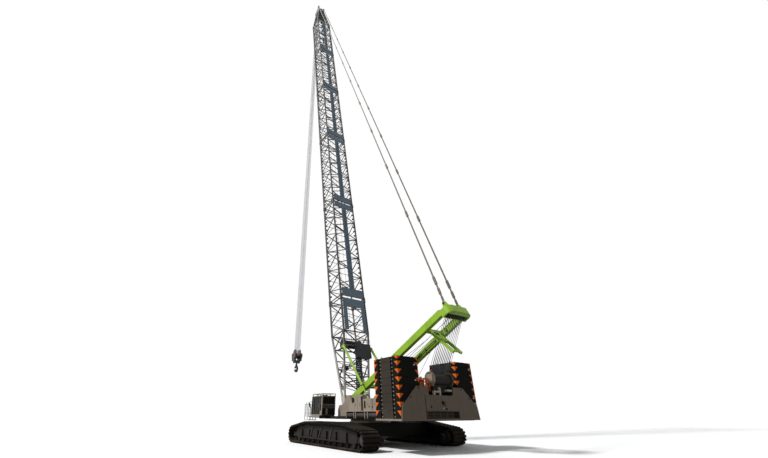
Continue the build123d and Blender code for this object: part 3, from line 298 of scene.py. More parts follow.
edges = {
    "tankTop": 1.035,
    "landingFrom": 2.035,
    "drumShadeTop": 1.74,
    "channelFrom": 1.62,
    "channelX": -2.99,
    "channelHalf": 0.24,
}
splitFinish("left_cabinets", "tank", lambda p: p.z < edges["tankTop"])
splitFinish("cab_arm", "white", lambda p: p.x > axisX + edges["landingFrom"])
# the luffing winch frame below this height takes the black chassis finish, as painted shade under the drum
splitFinish("luffing_winch_frame", "chassis", lambda p: p.z < edges["drumShadeTop"])
splitFinish(
    "counterweights",
    "weightDusty",
    lambda p: abs(p.y) > edges["channelFrom"] and abs(p.x - axisX - edges["channelX"]) < edges["channelHalf"],
)
print("finishes on the frame")


# modelling helpers; a rod's rim is an inset on both ends


def selectOnly(things):
    for other in bpy.context.selected_objects:
        other.select_set(False)
    for thing in things:
        thing.select_set(True)
    if things:
        bpy.context.view_layer.objects.active = things[0]


def applyPlace(thing):
    # the piece keeps its place in its mesh, with its object at the origin
    selectOnly([thing])
    bpy.ops.object.transform_apply(location=True, rotation=True, scale=True)
    return thing


def settle(thing, name, finish, body):
    applyPlace(thing)
    thing.name = name
    thing.data.name = name
    thing.data.materials.clear()
    thing.data.materials.append(finishes[finish])
    if body:
        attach(thing, body)
    return thing


def joined(pieces, name, finish, body):
    if len(pieces) > 1:
        selectOnly(pieces)
        bpy.ops.object.join()
    return settle(pieces[0], name, finish, body)


def added(primitive, **values):
    selectOnly([])
    primitive(**values)
    return bpy.context.active_object


def linked(name, data):
    thing = bpy.data.objects.new(name, data)
    bpy.context.collection.objects.link(thing)
    return thing


def meshed(built, name):
    # a piece from loose faces, which are turned outward
    bmesh.ops.recalc_face_normals(built, faces=built.faces)
    mesh = bpy.data.meshes.new(name)
    built.to_mesh(mesh)
    built.free()
    return linked(name, mesh)


def editAll(operator, **values):
    # one edit of every face of the active piece
    bpy.ops.object.mode_set(mode="EDIT")
    bpy.ops.mesh.select_all(action="SELECT")
    operator(**values)
    bpy.ops.object.mode_set(mode="OBJECT")


def addBox(low, high, bevel=0.0):
    low, high = Vector(low), Vector(high)
    thing = added(bpy.ops.mesh.primitive_cube_add, size=1, location=(low + high) / 2)
    thing.scale = high - low
    bpy.ops.object.transform_apply(location=False, rotation=False, scale=True)
    if bevel:
        editAll(bpy.ops.mesh.bevel, offset=bevel, segments=1, affect="EDGES")
    return thing


def addDisc(radius, height, sides, **values):
    return added(bpy.ops.mesh.primitive_cylinder_add, vertices=sides, radius=radius, depth=height, **values)


def addRod(start, end, radius, sides=8, rim=0.0):
    along = end - start
    turn = along.to_track_quat("Z", "Y").to_euler()
    thing = addDisc(radius, along.length, sides, location=(start + end) / 2, rotation=turn)
    if rim:
        bpy.ops.object.mode_set(mode="EDIT")
        bpy.ops.mesh.select_all(action="DESELECT")
        bpy.ops.mesh.select_mode(type="FACE")
        mesh = bmesh.from_edit_mesh(thing.data)
        for face in mesh.faces:
            face.select = len(face.verts) > 4
        bmesh.update_edit_mesh(thing.data)
        bpy.ops.mesh.inset(thickness=rim, depth=0)
        bpy.ops.object.mode_set(mode="OBJECT")
    return thing


def addOutline(points, depth):
    # a flat outline in X and Z, pushed out along Y by the depth
    built = bmesh.new()
    face = built.faces.new([built.verts.new((x, 0, z)) for x, z in points])
    pushed = bmesh.ops.extrude_face_region(built, geom=[face])
    moved = [item for item in pushed["geom"] if isinstance(item, bmesh.types.BMVert)]
    bmesh.ops.translate(built, vec=(0, depth, 0), verts=moved)
    return meshed(built, "outline")


def addRing(major, minor, steps):
    sizes = {"major_radius": major, "minor_radius": minor, "major_segments": steps, "minor_segments": 6}
    return added(bpy.ops.mesh.primitive_torus_add, **sizes)


def addBolt(radius, height):
    # a six-sided head whose outer end is a little narrower
    bolt = addDisc(radius, height, 6)
    for vertex in bolt.data.vertices:
        if vertex.co.z > 0:
            vertex.co.x *= 0.8
            vertex.co.y *= 0.8
    return bolt


def placed(point, direction):
    # a place whose own Z looks in the direction
    return Matrix.Translation(point) @ Vector(direction).to_track_quat("Z", "Y").to_matrix().to_4x4()


def repeat(source, spots, name, finish, body):
    # copies of one source, each with its own vertices, joined in one mesh
    built = bmesh.new()
    for spot in spots:
        start = len(built.verts)
        built.from_mesh(source.data)
        built.verts.ensure_lookup_table()
        bmesh.ops.transform(built, matrix=spot, verts=built.verts[start:])
    thing = meshed(built, name)
    bpy.data.meshes.remove(source.data)  # the source goes with it
    thing.data.materials.append(finishes[finish])
    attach(thing, body)
    return thing


# the same in millimetres from the slewing axis


def boxAt(low, high, bevel=0):
    return addBox(place(*low), place(*high), bevel / 1000)


def rodAt(start, end, radius, sides=8, rim=0):
    return addRod(place(*start), place(*end), radius / 1000, sides, rim / 1000)


def outlineAt(points, low, high):
    thing = addOutline([(axisX + x / 1000, z / 1000) for x, z in points], (high - low) / 1000)
    thing.data.transform(Matrix.Translation((0, low / 1000, 0)))
    return thing


def fitting(name, finish, boxes=(), rods=()):
    # boxes are low and high corner and bevel, rods are start, end, radius, sides and rim
    return joined([boxAt(*row) for row in boxes] + [rodAt(*row) for row in rods], name, finish, "upper")


# reference lines of the boom and the mast, on which places are depth, width and length in millimetres


def pivot(name):
    return Vector(joints[name]["pos_m"])


boomFoot = pivot("boom_luff")
mastFoot = pivot("mast_luff")
boomLean = math.radians(8.16)
mastTilt = math.radians(25.55)
upBoom = Vector((math.sin(boomLean), 0, math.cos(boomLean)))
upMast = Vector((-math.cos(mastTilt), 0, math.sin(mastTilt)))


def leaningLine(foot, up):
    # depth, width and length along a line that leans in the plane of X and Z
    return Matrix.Translation(foot) @ Matrix(((up.z, 0, up.x), (0, 1, 0), (-up.x, 0, up.z))).to_4x4()


boomLine = leaningLine(boomFoot, upBoom)
mastLine = leaningLine(mastFoot, upMast)


def onBoom(deep, y, along):
    return boomLine @ (Vector((deep, y, along)) / 1000)


def onMast(deep, y, along):
    return mastLine @ (Vector((deep, y, along)) / 1000)


def boxOn(line, low, high, bevel=0):
    thing = applyPlace(addBox(Vector(low) / 1000, Vector(high) / 1000, bevel / 1000))
    thing.data.transform(line)
    return thing


def rodOn(line, start, end, radius, sides=6):
    thing = applyPlace(addRod(Vector(start) / 1000, Vector(end) / 1000, radius / 1000, sides))
    thing.data.transform(line)
    return thing


# the four chords: half width and half depth of the sections, the deepening butt and the tapering head

chords = {
    "wide": 607,
    "deep": 449.5,
    "footDeep": 92,
    "footAt": 300,
    "buttEnd": 3000,
    "headAt": 34620,
    "headLength": 3215,
    "headWide": 262,
    "headDeep": 300,
    "plainFrom": 460,
    "reach": 56,
}


def chordDeep(along):
    share = min(max((along - chords["footAt"]) / (chords["buttEnd"] - chords["footAt"]), 0), 1)
    return chords["footDeep"] + (chords["deep"] - chords["footDeep"]) * share


def headSpread(along):
    share = min(max((along - chords["headAt"]) / chords["headLength"], 0), 1)
    deep = chords["deep"] + (chords["headDeep"] - chords["deep"]) * share
    return deep, chords["wide"] + (chords["headWide"] - chords["wide"]) * share


def isLacing(point):
    # whether a point of the boom lies away from its chords
    away = (point - boomFoot) * 1000
    along = away.x * math.sin(boomLean) + away.z * math.cos(boomLean)
    deep = away.x * math.cos(boomLean) - away.z * math.sin(boomLean)
    offChord = max(abs(abs(deep) - chordDeep(along)), abs(abs(away.y) - chords["wide"]))
    return along > chords["plainFrom"] and offChord > chords["reach"]


# faces away from the chords take the dark bracing copy, which is painted shade on the braces
for name in boomNodes:
    splitFinish(name, "lacingShadeGrey", isLacing)
print("finishes on the boom")


# track belts: every shoe with its grouser, plate, link rails and guide lug

belt = {
    "length": 5.045,
    "gauge": 3.73,
    "shoes": 84,
    "width": 0.61,
    "endWheel": (0.285, 0.292),  # radius and height of the centre
    "topRoller": (1.15, 0.12, 0.618),  # distance from the middle, radius, height of the centre
    "groundRoller": (1.9505, 0.14, 0.14),
    "padShare": 0.55,
    "padDepth": (-0.047, -0.001),
    "plateDepth": (-0.057, -0.045),
    "railDepth": (-0.072, -0.04),
    "railY": 0.085,
    "footDepth": (-0.052, -0.03),
    "footY": 0.24,
    "guideDepth": (-0.06, -0.042),
}


def beltOutline(steps):
    # the hull round the wheels and rollers, walked once round
    endRadius, endHeight = belt["endWheel"]
    circles = [(belt["length"] / 2 - endRadius, endRadius, endHeight), belt["groundRoller"], belt["topRoller"]]
    circles += [(-x, radius, z) for x, radius, z in circles]
    points = []
    for step in range(steps):
        turn = 2 * math.pi * step / steps
        nx, nz = math.cos(turn), math.sin(turn)
        x, radius, z = max(circles, key=lambda circle: circle[0] * nx + circle[2] * nz + circle[1])
        points.append(Vector((x + radius * nx, z + radius * nz)))
    return points


def alongLoop(points, count):
    # evenly spaced places round a closed outline, two for each shoe
    sizes = [(points[(i + 1) % len(points)] - points[i]).length for i in range(len(points))]
    pitch = sum(sizes) / count
    spots = []
    walked, i = 0.0, 0
    for k in range(2 * count):
        goal = k * pitch / 2
        while walked + sizes[i] < goal:
            walked += sizes[i]
            i += 1
        share = (goal - walked) / sizes[i] if sizes[i] else 0
        spots.append(points[i].lerp(points[(i + 1) % len(points)], share))
    return spots, pitch


def buildShoe(halfPitch):
    half = belt["width"] / 2
    parts = []

    def block(reach, low, high, depth, bevel=0.0):
        parts.append(addBox((-reach, low, depth[0]), (reach, high, depth[1]), bevel))

    block(halfPitch * belt["padShare"], -half, half, belt["padDepth"], 0.004)
    block(halfPitch - 0.004, -half + 0.004, half - 0.004, belt["plateDepth"], 0.003)
    for y in (-belt["railY"], belt["railY"]):
        block(halfPitch - 0.002, y - 0.02, y + 0.02, belt["railDepth"], 0.004)
    for y in (-belt["footY"], belt["footY"]):
        block(0.02, y - 0.03, y + 0.03, belt["footDepth"])
    block(0.024, -0.05, 0.05, belt["guideDepth"])
    return joined(parts, "shoe", "belt", None)


loop, shoePitch = alongLoop(beltOutline(720), belt["shoes"])
spots = []
for side in (-1, 1):
    for k in range(belt["shoes"]):
        before, after = loop[(2 * k - 1) % len(loop)], loop[(2 * k + 1) % len(loop)]
        travel = (after - before).normalized()
        middle = (before + after) / 2
        axes = (Vector((travel.x, 0, travel.y)), Vector((0, 1, 0)), Vector((travel.y, 0, -travel.x)))
        spot = Vector((axisX + middle.x, side * belt["gauge"] / 2, middle.y))
        spots.append(Matrix.Translation(spot) @ Matrix(axes).transposed().to_4x4())
shoes = repeat(buildShoe(shoePitch / 2), spots, "trackShoes", "belt", "undercarriage")
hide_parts("tracks")
print("track shoes", len(shoes.data.polygons))

# undercarriage fittings: hub caps and rings, bolts, side plates and ribs on the frames

hubs = {
    "capAt": (2237.5, 1969.5, 292),
    "caps": ((0.062, 0.03, 20, 0.014), (0.03, 0.012, 12, 0.008)),  # radius, thickness, sides, rim
    "ringAt": (-2250, 1975, 300),
    "rings": ((0.15, 0.03, 28, 0.03), (0.095, 0.025, 24, 0.02)),
    "bolt": (0.013, 0.012),
    "bolts": 10,
    "boltCircle": 0.118,
    "boltInset": 0.057,
}
guard = {
    "outline": [(-2030, 74), (2030, 74), (2030, 538), (1150, 680), (-1150, 680), (-2030, 538)],
    "plates": ((1700, 1708), (1960, 1968)),
    "ribs": (800, 185, -540),
    "ribY": (2024, 2062),
    "boltY": 2030,
    "boltRows": (300, 420),
    "boltColumns": 22,
    "boltReach": 1420,
}


def discs(centre, side, rows):
    # discs one upon another, outward from a side face
    pieces = []
    for radius, thick, sides, rim in rows:
        tip = centre + Vector((0, side * thick, 0))
        pieces.append(addRod(centre, tip, radius, sides, rim))
        centre = tip
    return pieces


caps, spots = [], []
x, y, z = hubs["capAt"]
for side in (-1, 1):
    for centre in (place(-x, side * y, z), place(x, side * y, z)):
        caps += discs(centre, side, hubs["caps"])
        for k in range(hubs["bolts"]):
            turn = 2 * math.pi * k / hubs["bolts"]
            out = Vector((math.cos(turn), 0, math.sin(turn))) * hubs["boltCircle"]
            spots.append(placed(centre + out - Vector((0, side * hubs["boltInset"], 0)), (0, side, 0)))
    for z1 in guard["boltRows"]:
        for k in range(guard["boltColumns"]):
            x1 = guard["boltReach"] * (2 * k / (guard["boltColumns"] - 1) - 1)
            spots.append(placed(place(x1, side * guard["boltY"], z1), (0, side, 0)))
joined(caps, "hubCaps", "chassis", "undercarriage")
repeat(addBolt(*hubs["bolt"]), spots, "undercarriageBolts", "darkSteel", "undercarriage")
plates, ribs = [], []
for side in (-1, 1):
    for span in guard["plates"]:
        plates.append(outlineAt(guard["outline"], *sorted(side * y for y in span)))
    span = sorted(side * y for y in guard["ribY"])
    for x in guard["ribs"]:
        ribs.append(outlineAt([(x + 74, 180), (x + 104, 180), (x - 70, 545), (x - 94, 545)], *span))
        ribs.append(outlineAt([(x - 60, 180), (x + 104, 180), (x + 96, 196), (x - 60, 196)], *span))
joined(plates, "trackGuards", "chassis", "undercarriage")
joined(ribs, "frameRibs", "rib", "undercarriage")
x, y, z = hubs["ringAt"]
rings = [disc for side in (-1, 1) for disc in discs(place(x, side * y, z), side, hubs["rings"])]
joined(rings, "hubRings", "tank", "undercarriage")
print("undercarriage fittings")

# counterweight stacks: a triangle folded round every upright corner of every slab, lugs, chains and eyes

stack = {
    "x": (axisX - 3.535, axisX - 2.455),
    "y": (0.83, 1.63),
    "bottom": 0.85,
    "count": 8,
    "slab": 0.216,
    "topSlab": 0.143,
    "seam": 0.006,
    "markWidth": 0.14,
    "markShare": 0.64,
    "markThick": 0.003,
    "lug": ((-0.012, -0.032, -0.02), (0.012, 0.032, 0.02), 0.006),
    "lugs": ((0.99, 7), (0.99, 5), (-1.5, 7), (-1.5, 3)),  # place along Y and number of the slab
    "lugDown": 0.08,
    "rodX": (-3265, -2725),
    "rodY": 1596,
    "rodZ": (860, 2500),
    "rodRadius": 14,
    "link": ((-0.008, -0.016, -0.028), (0.008, 0.016, 0.028), 0.004),
    "linkY": 1604,
    "linkZ": (900, 108, 15),  # first, pitch and count
    "eye": (0.034, 0.01, 14),
    "eyeX": (-3300, -2700),
    "eyeY": (950, 1510),
    "eyeZ": 2511,
}
triangles = []
for k in range(stack["count"]):
    tall = (stack["topSlab"] if k == stack["count"] - 1 else stack["slab"]) - stack["seam"]
    top = stack["bottom"] + k * stack["slab"] + tall - 0.004
    outline = [(0, 0), (stack["markWidth"], 0), (0, -tall * stack["markShare"])]
    for side in (-1, 1):
        for end, x in zip((-1, 1), stack["x"]):
            for edge, y in zip((-1, 1), stack["y"]):
                outX, outY = Vector((end, 0, 0)), Vector((0, side * edge, 0))
                corner = Matrix.Translation((x, side * y, top))
                for inward, outward in ((-outX, outY), (-outY, outX)):
                    mark = addOutline(outline, stack["markThick"])
                    turn = Matrix((inward, outward, Vector((0, 0, 1)))).transposed().to_4x4()
                    mark.data.transform(corner @ turn)
                    triangles.append(mark)
joined(triangles, "counterweightMarks", "orange", "upper")
editAll(bpy.ops.mesh.normals_make_consistent, inside=False)
spots = []
for y, k in stack["lugs"]:
    z = stack["bottom"] + k * stack["slab"] - stack["lugDown"]
    spots.append(placed(Vector((stack["x"][0] + stack["lug"][0][0], y, z)), (0, 0, 1)))
repeat(addBox(*stack["lug"]), spots, "stackLugs", "paleSteel", "upper")
rods, links, eyes = [], [], []
rodLow, rodHigh = stack["rodZ"]
firstLink, linkPitch, linkCount = stack["linkZ"]
for side in (-1, 1):
    for x in stack["rodX"]:
        y = side * stack["rodY"]
        rods.append(rodAt((x, y, rodLow), (x, y, rodHigh), stack["rodRadius"]))
        for k in range(linkCount):
            links.append(placed(place(x, side * stack["linkY"], firstLink + k * linkPitch), (1, 0, 0)))
    for x in stack["eyeX"]:
        for y in stack["eyeY"]:
            eyes.append(placed(place(x, side * y, stack["eyeZ"]), (1, 0, 0)))
joined(rods, "channelRods", "weightDusty", "upper")
repeat(addBox(*stack["link"]), links, "channelLinks", "barGrey", "upper")
repeat(addRing(*stack["eye"]), eyes, "stackEyes", "weight", "upper")
print("counterweight stacks")

# rear plate: seam, bolts, the recess drawn as a near-black sheet of painted shade with its pipes, and the
# fittings between the stacks

rear = {
    "seam": ((-3580, 688, 830), (-3574, 712, 1460)),
    "boltX": -3576,
    "bolt": (0.028, 0.012),
    "bolts": ((1260, 1400), (930, 1655)),
    "recessShade": (((-3570, -676, 852), (-3566, 686, 1036)), ((-3578, -650, 860), (-3570, -440, 1030), 3)),
    "pipes": (880, 918, 956, 994),
    "pipeBars": (-420, -150, 130, 400, 650),
    "caps": (((-3580, -17, 1120), (-3574, -17, 1120), 26, 14), ((-3600, -85, 1225), (-3600, -85, 1268), 20, 12)),
    "catchAndRecessShade": (((-3590, -180, 1080), (-3572, -120, 1128), 6), ((-3592, -50, 1225), (-3572, 24, 1320), 10)),
    "beams": (-3480, -3000, -2560),
    "brackets": (
        ((-3574, 50, 1545), (-3476, 290, 1590), 8),
        ((-3574, -500, 1590), (-3476, -260, 1637), 8),
        ((-3574, 0, 1450), (-3496, 50, 1700), 8),
        ((-3574, 240, 1450), (-3496, 300, 1560), 8),
    ),
    "cheek": (((-3560, 258, 1720), (-3290, 284, 2090), 30), ((-3540, 284, 1800), (-3330, 330, 1880), 12)),
}
fitting("rearSeams", "chassis", [rear["seam"]])
spots = [placed(place(rear["boltX"], side * y, z), (-1, 0, 0)) for y, z in rear["bolts"] for side in (-1, 1)]
repeat(addBolt(*rear["bolt"]), spots, "rearBolts", "weight", "upper")
# a near-black sheet over the recess: painted shade inside the recess
fitting("rearRecessShade", "weight", rear["recessShade"])
# pipes in the recess: their own brown paint, darkened as painted shade
fitting(
    "rearPipes",
    "recessBrownAndShade",
    [((-3580, y, 862), (-3568, y + 26, 1012)) for y in rear["pipeBars"]],
    [((-3572, -430, z), (-3572, 680, z), 9) for z in rear["pipes"]],
)
fitting("rearCaps", "cream", rods=rear["caps"])
# two near-black blocks; the upper one stands for a dark recess in the plate and is painted shade
fitting("rearCatchAndRecessShade", "weight", rear["catchAndRecessShade"])
fitting("trayBeams", "chassis", [((x, -1500, 790), (x + 130, 1500, 849), 8) for x in rear["beams"]])
cage = {
    "x": (-3440, -3120),
    "y": (320, 700),
    "z": (1690, 1930),
    "bars": 6,
    "radius": 13,
    "sides": 6,
    "machinery": (
        ((-3280, 400, 1860), (-3280, 640, 1860), 52, 16, 12),
        ((-3280, 420, 1600), (-3280, 420, 1900), 30, 10),
    ),
    "shelf": ((-3420, 300, 1560), (-3140, 720, 1600), 8),
}
rods = []
(x0, x1), (y0, y1), (z0, z1) = cage["x"], cage["y"], cage["z"]
for x in cage["x"]:
    for k in range(cage["bars"]):
        y = y0 + (y1 - y0) * k / (cage["bars"] - 1)
        rods.append(((x, y, z0 - 100), (x, y, z1)))
    rods += [((x, y0, z), (x, y1, z)) for z in (z0, (z0 + z1) / 2, z1)]
rods += [((x0, y, z), (x1, y, z)) for y in cage["y"] for z in cage["z"]]
fitting("rearCage", "orange", rods=[(start, end, cage["radius"], cage["sides"]) for start, end in rods])
fitting("cageMachinery", "darkSteel", [cage["shelf"]], cage["machinery"])
fitting("rearBrackets", "cream", rear["brackets"])
fitting("winchCheek", "taupe", rear["cheek"])
print("rear plate")

# winch drums: rope wound in rows

windings = {  # body, radius of the coil, half length of the row and number of turns
    "mainWinchRope": ("main_winch", 0.2, 0.36, 26),
    "secondWinchRope": ("second_winch", 0.2, 0.36, 26),
    "luffingWinchRope": ("luffing_winch", 0.142, 0.35, 24),
    "boomWinchRope": ("boom_winch", 0.157, 0.36, 24),
}
for name, (body, radius, half, turns) in windings.items():
    centre = pivot(body + "_turn")
    pitch = 2 * half / turns
    spots = [placed(centre + Vector((0, pitch * (k + 0.5) - half, 0)), (0, 1, 0)) for k in range(turns)]
    repeat(addRing(radius, pitch * 0.52, 28), spots, name, "winding", body)
print("rope on the drums")

# ropes: luffing ropes to the mast head, falls to the hook block, lines up the boom and a mast stay

ropes = {
    "radius": 0.0062,
    "sides": 6,
    "luffing": 22,
    "drumAt": (-3420, -190, 2100),
    "drumSpread": 400,
    "drumStep": 70,
    "headAt": (-110, 0, 5240),
    "headSpread": 380,
    "headStep": (60, 70),
    "fallsY": (-0.105, -0.07, -0.035, 0.0, 0.035, 0.07, 0.105),
    "fallRadius": 0.009,
    "fallReach": (0.157, 0.162),  # half distance between falls at the block and at the boom head
    "blockTop": 3.97,
    "boomLines": (((140, -160, 2560), (20, -40, 37900)), ((140, 120, 2560), (20, 30, 37900))),
    "stayRadius": 0.006,
    "stay": ((-1250, -690, 1350), (-106, -470, 3600)),  # foot from the slewing axis, top on the mast
    "anchor": ((-1290, -720, 1288), (-1210, -660, 1362), 10),
}
pieces = []
for k in range(ropes["luffing"]):
    share = 2 * k / (ropes["luffing"] - 1) - 1
    row = k % 2
    x, y, z = ropes["drumAt"]
    deep, middle, along = ropes["headAt"]
    acrossStep, alongStep = ropes["headStep"]
    low = place(x + ropes["drumStep"] * row, y + ropes["drumSpread"] * share, z)
    high = onMast(deep + acrossStep * row, middle + ropes["headSpread"] * share, along + alongStep * row)
    pieces.append(addRod(low, high, ropes["radius"], ropes["sides"]))
luffRopes = joined(pieces, "luffingRopes", "rope", None)
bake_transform(luffRopes)
sheaveCentre = pivot("hoist_line")
blockTop = Vector((pivot("hook_swivel").x, 0, ropes["blockTop"]))
pieces = []
for y in ropes["fallsY"]:
    for side in (-1, 1):
        near, far = (side * reach for reach in ropes["fallReach"])
        low, high = blockTop + Vector((near, y, 0)), Vector((sheaveCentre.x + far, y, sheaveCentre.z))
        pieces.append(addRod(low, high, ropes["fallRadius"], ropes["sides"]))
falls = joined(pieces, "hoistFalls", "paleRope", None)
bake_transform(falls)
lines = [addRod(onBoom(*low), onBoom(*high), ropes["radius"], ropes["sides"]) for low, high in ropes["boomLines"]]
joined(lines, "boomLines", "rope", "boom")
stayFoot, stayTop = place(*ropes["stay"][0]), onMast(*ropes["stay"][1])
stay = settle(addRod(stayFoot, stayTop, ropes["stayRadius"], ropes["sides"]), "mastStay", "rope", None)
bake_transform(stay)
fitting("stayAnchor", "limeDark", [ropes["anchor"]])
print("ropes")

# mast fittings: pins, cylinders, brackets, yellow ticks that are painted highlights along the legs' top edges,
# and rods

leg = {"footY": 565, "headY": 445, "length": 5180}
mast = {
    "pins": ((256, 250, 5370), (256, 392, 5370)),
    "cylinders": ((1, 1500, 2500), (-1, 1700, 3100)),  # side, start and end along the leg
    "pistons": ((1, 2500, 3100), (-1, 3100, 3920)),
    "cylinderAway": -113,
    "brackets": (760, 1300, 2050, 2480, 3080, 3350, 3900, 4480),
    "bracketAway": (-127, -71),
    "lineAway": 63,
    "lineDeep": 109,
    "lineFrom": 480,
    "linePitch": 250,
    "lines": 18,
    "cables": (
        ((-110, 430, 2300), (-150, 180, 4100), 6),
        ((-60, -60, 2720), (-100, -120, 5100), 8),
        ((-60, 60, 2720), (-100, 120, 5100), 8),
    ),
}


def besideLeg(side, along, away):
    # across the mast at a height on the leg, measured outward from the leg's own axis
    return side * (leg["footY"] + (leg["headY"] - leg["footY"]) * along / leg["length"] + away)


def rodAlongLeg(side, start, end, deep, away, radius, sides):
    ends = ((deep, besideLeg(side, along, away), along) for along in (start, end))
    return rodOn(mastLine, *ends, radius, sides)


pins, steelwork, lights = [], [], []
for side in (-1, 1):
    low, high = ((deep, side * y, along) for deep, y, along in mast["pins"])
    pins.append(rodOn(mastLine, low, high, 34, 14))
    for along in mast["brackets"]:
        inner, outer = sorted(besideLeg(side, along, away) for away in mast["bracketAway"])
        steelwork.append(boxOn(mastLine, (-46, inner, along), (40, outer, along + 66), 6))
    # short yellow ticks along each leg's top edge: painted highlights
    for k in range(mast["lines"]):
        start = mast["lineFrom"] + mast["linePitch"] * k
        lights.append(rodAlongLeg(side, start, start + 120, mast["lineDeep"], mast["lineAway"], 7, 6))
for side, start, end in mast["cylinders"]:
    steelwork.append(rodAlongLeg(side, start, end, -10, mast["cylinderAway"], 34, 14))
    steelwork.append(rodAlongLeg(side, end - 60, end, -10, mast["cylinderAway"], 42, 14))
rods = [rodAlongLeg(*row, -10, mast["cylinderAway"], 18, 10) for row in mast["pistons"]]
rods += [rodOn(mastLine, *row) for row in mast["cables"]]
joined(pins, "mastPins", "darkSteel", "mast")
joined(steelwork, "mastFittings", "limeDark", "mast")
joined(lights, "mastHighlightTicks", "highlightYellow", "mast")
joined(rods, "mastRods", "rope", "mast")
print("mast fittings")

# boom sections: joint pins, walkway bars, collars on the chords and struts between the main braces

sections = {
    "butt": 4620,
    "length": 6000,
    "count": 5,
    "pin": (0.03, 0.12, 10),
    "pinAway": 62,
    "collar": (0.056, 0.05, 8),
    "margin": 70,
    "bays": 10,
    "strut": 13,
    "bar": ((-0.004, -0.14, -0.008), (0.004, 0.14, 0.008)),
    "bars": 62,
    "barFrom": 500,
    "barPitch": 80,
    "barDeep": -540,
    "buttBraces": (560, 900, 1240, 1580, 2700),
    "buttStruts": (3300, 3700, 4100),
}
sectionStarts = [sections["butt"] + k * sections["length"] for k in range(sections["count"] + 1)]
wide, deep = chords["wide"], chords["deep"]


def roundChords(along, direction):
    return [placed(onBoom(d, y, along), direction) for d in (-deep, deep) for y in (-wide, wide)]


def struts(ends, radius=sections["strut"]):
    return [rodOn(boomLine, start, end, radius) for start, end in ends]


spots = []
for base in sectionStarts:
    for away in (-sections["pinAway"], sections["pinAway"]):
        spots += roundChords(base + away, (0, 1, 0))
repeat(addDisc(*sections["pin"]), spots, "sectionPins", "paleSteel", "boom")
spots = []
for base in sectionStarts[:-1]:
    for row in range(sections["bars"]):
        along = base + sections["barFrom"] + sections["barPitch"] * row
        spots.append(placed(onBoom(sections["barDeep"], 0, along), upBoom))
repeat(addBox(*sections["bar"]), spots, "walkwayBars", "gratingDark", "boom")
spots, pieces = [], []
bay = (sections["length"] - 2 * sections["margin"]) / sections["bays"]
for base in sectionStarts[:-1]:
    for step in range(2 * sections["bays"] + 1):
        spots += roundChords(base + sections["margin"] + bay * step / 2, upBoom)
    for step in range(1, sections["bays"]):
        along = base + sections["margin"] + bay * step
        pieces += struts([((-deep, y, along), (deep, y, along)) for y in (-wide, wide)])
        if step % 2 == 0:
            pieces += struts([((d, -wide, along), (d, wide, along)) for d in (-deep, deep)])
for k, along in enumerate(sections["buttBraces"]):
    near, far = chordDeep(along), chordDeep(along + 300)
    edge = wide if k % 2 else -wide
    for side in (-1, 1):
        across = [((side * near, edge, along), (side * far, -edge, along + 300))]
        across.append(((side * far, -wide, along + 300), (side * far, wide, along + 300)))
        pieces += struts(across, 15)
        pieces += struts([((-near, side * wide, along), (far, side * wide, along + 300))], 14)
for along in sections["buttStruts"]:
    for side in (-1, 1):
        pieces += struts([((-deep, side * wide, along), (deep, side * wide, along - 200))])
        pieces += struts([((side * deep, -wide, along), (side * deep, wide, along + 160))])
joined(pieces, "boomStruts", "lacingShadeGrey", "boom")
repeat(addDisc(*sections["collar"]), spots, "chordCollars", "lacingShadeGrey", "boom")

# boom butt: winch guard with its rail, the walk up the lattice and a rope roller

butt = {
    "guard": (
        ((-546, -645, 1890), (-534, 80, 2470), 4),
        ((-546, -645, 1880), (-350, 80, 1896)),
        ((-546, 70, 1890), (-350, 80, 2470)),
        ((-546, -645, 1890), (-350, -635, 2470)),
    ),
    "rails": (2540, 2610, 2680),
    "posts": (-640, -460, -280, -100, 80),
    "steps": 16,
    "stepFrom": 560,
    "stepPitch": 84,
    "ladderY": (-256, 44),
    "ladder": (520, 1900),
    "roller": ((-260, 470, 1480), (-260, 585, 1480), 85, 18),
}
joined([boxOn(boomLine, *row) for row in butt["guard"]], "winchGuard", "meshGrey", "boom")
rail = [((-540, -640, s), (-540, 80, s)) for s in butt["rails"]]
rail += [((-540, y, 2470), (-540, y, 2690)) for y in butt["posts"]]
joined(struts(rail, 7), "winchRail", "rope", "boom")
pieces = []
for k in range(butt["steps"]):
    s = butt["stepFrom"] + butt["stepPitch"] * k
    d = -chordDeep(s) - 20
    pieces.append(boxOn(boomLine, (d - 8, -250, s), (d, 40, s + 80)))
for y in butt["ladderY"]:
    pieces += struts([[(-chordDeep(s) - 24, y, s) for s in butt["ladder"]]], 14)
joined(pieces, "buttLadder", "meshGrey", "boom")

# boom head: screens, thin bracing, gauge mast, lamp and green blocks on the chords

head = {
    "screens": 7,
    "screenFrom": 28900,
    "screenPitch": 820,
    "braces": 9,
    "braceFrom": 34850,
    "bracePitch": 260,
    "braceRadius": 16,
    "shelves": (35300, 36100, 36900),
    "gauge": (-300, 120, 38480),
    "lamp": ((-330, -140, 38300), (-250, -60, 38380), 10),
    "blocks": (
        (455, 600, 33600), (455, 600, 31000), (-455, 600, 30400), (-455, -600, 29400), (-455, 560, 29000),
    ),
}
pieces = []
for k in range(head["screens"]):
    s = head["screenFrom"] + head["screenPitch"] * k
    pieces.append(boxOn(boomLine, (-478, 150, s), (-470, 330, s + 560), 3))
    pieces += [boxOn(boomLine, (130, y - 5, s), (425, y + 5, s + 700), 3) for y in (-wide, wide)]
joined(pieces, "headScreens", "grating", "boom")
pieces = []
for k in range(head["braces"]):
    s = head["braceFrom"] + head["bracePitch"] * k
    d, y = headSpread(s + 130)
    ends = [((-d, -y, s), (-d, y, s + 130)), ((-d, -y, s), (d, -y, s + 130)), ((-d, y, s), (d, y, s + 130))]
    pieces += struts(ends, head["braceRadius"])
for s in head["shelves"]:
    d, y = headSpread(s + 120)
    pieces.append(boxOn(boomLine, (-d + 30, -y, s), (-d + 210, y, s + 120), 10))
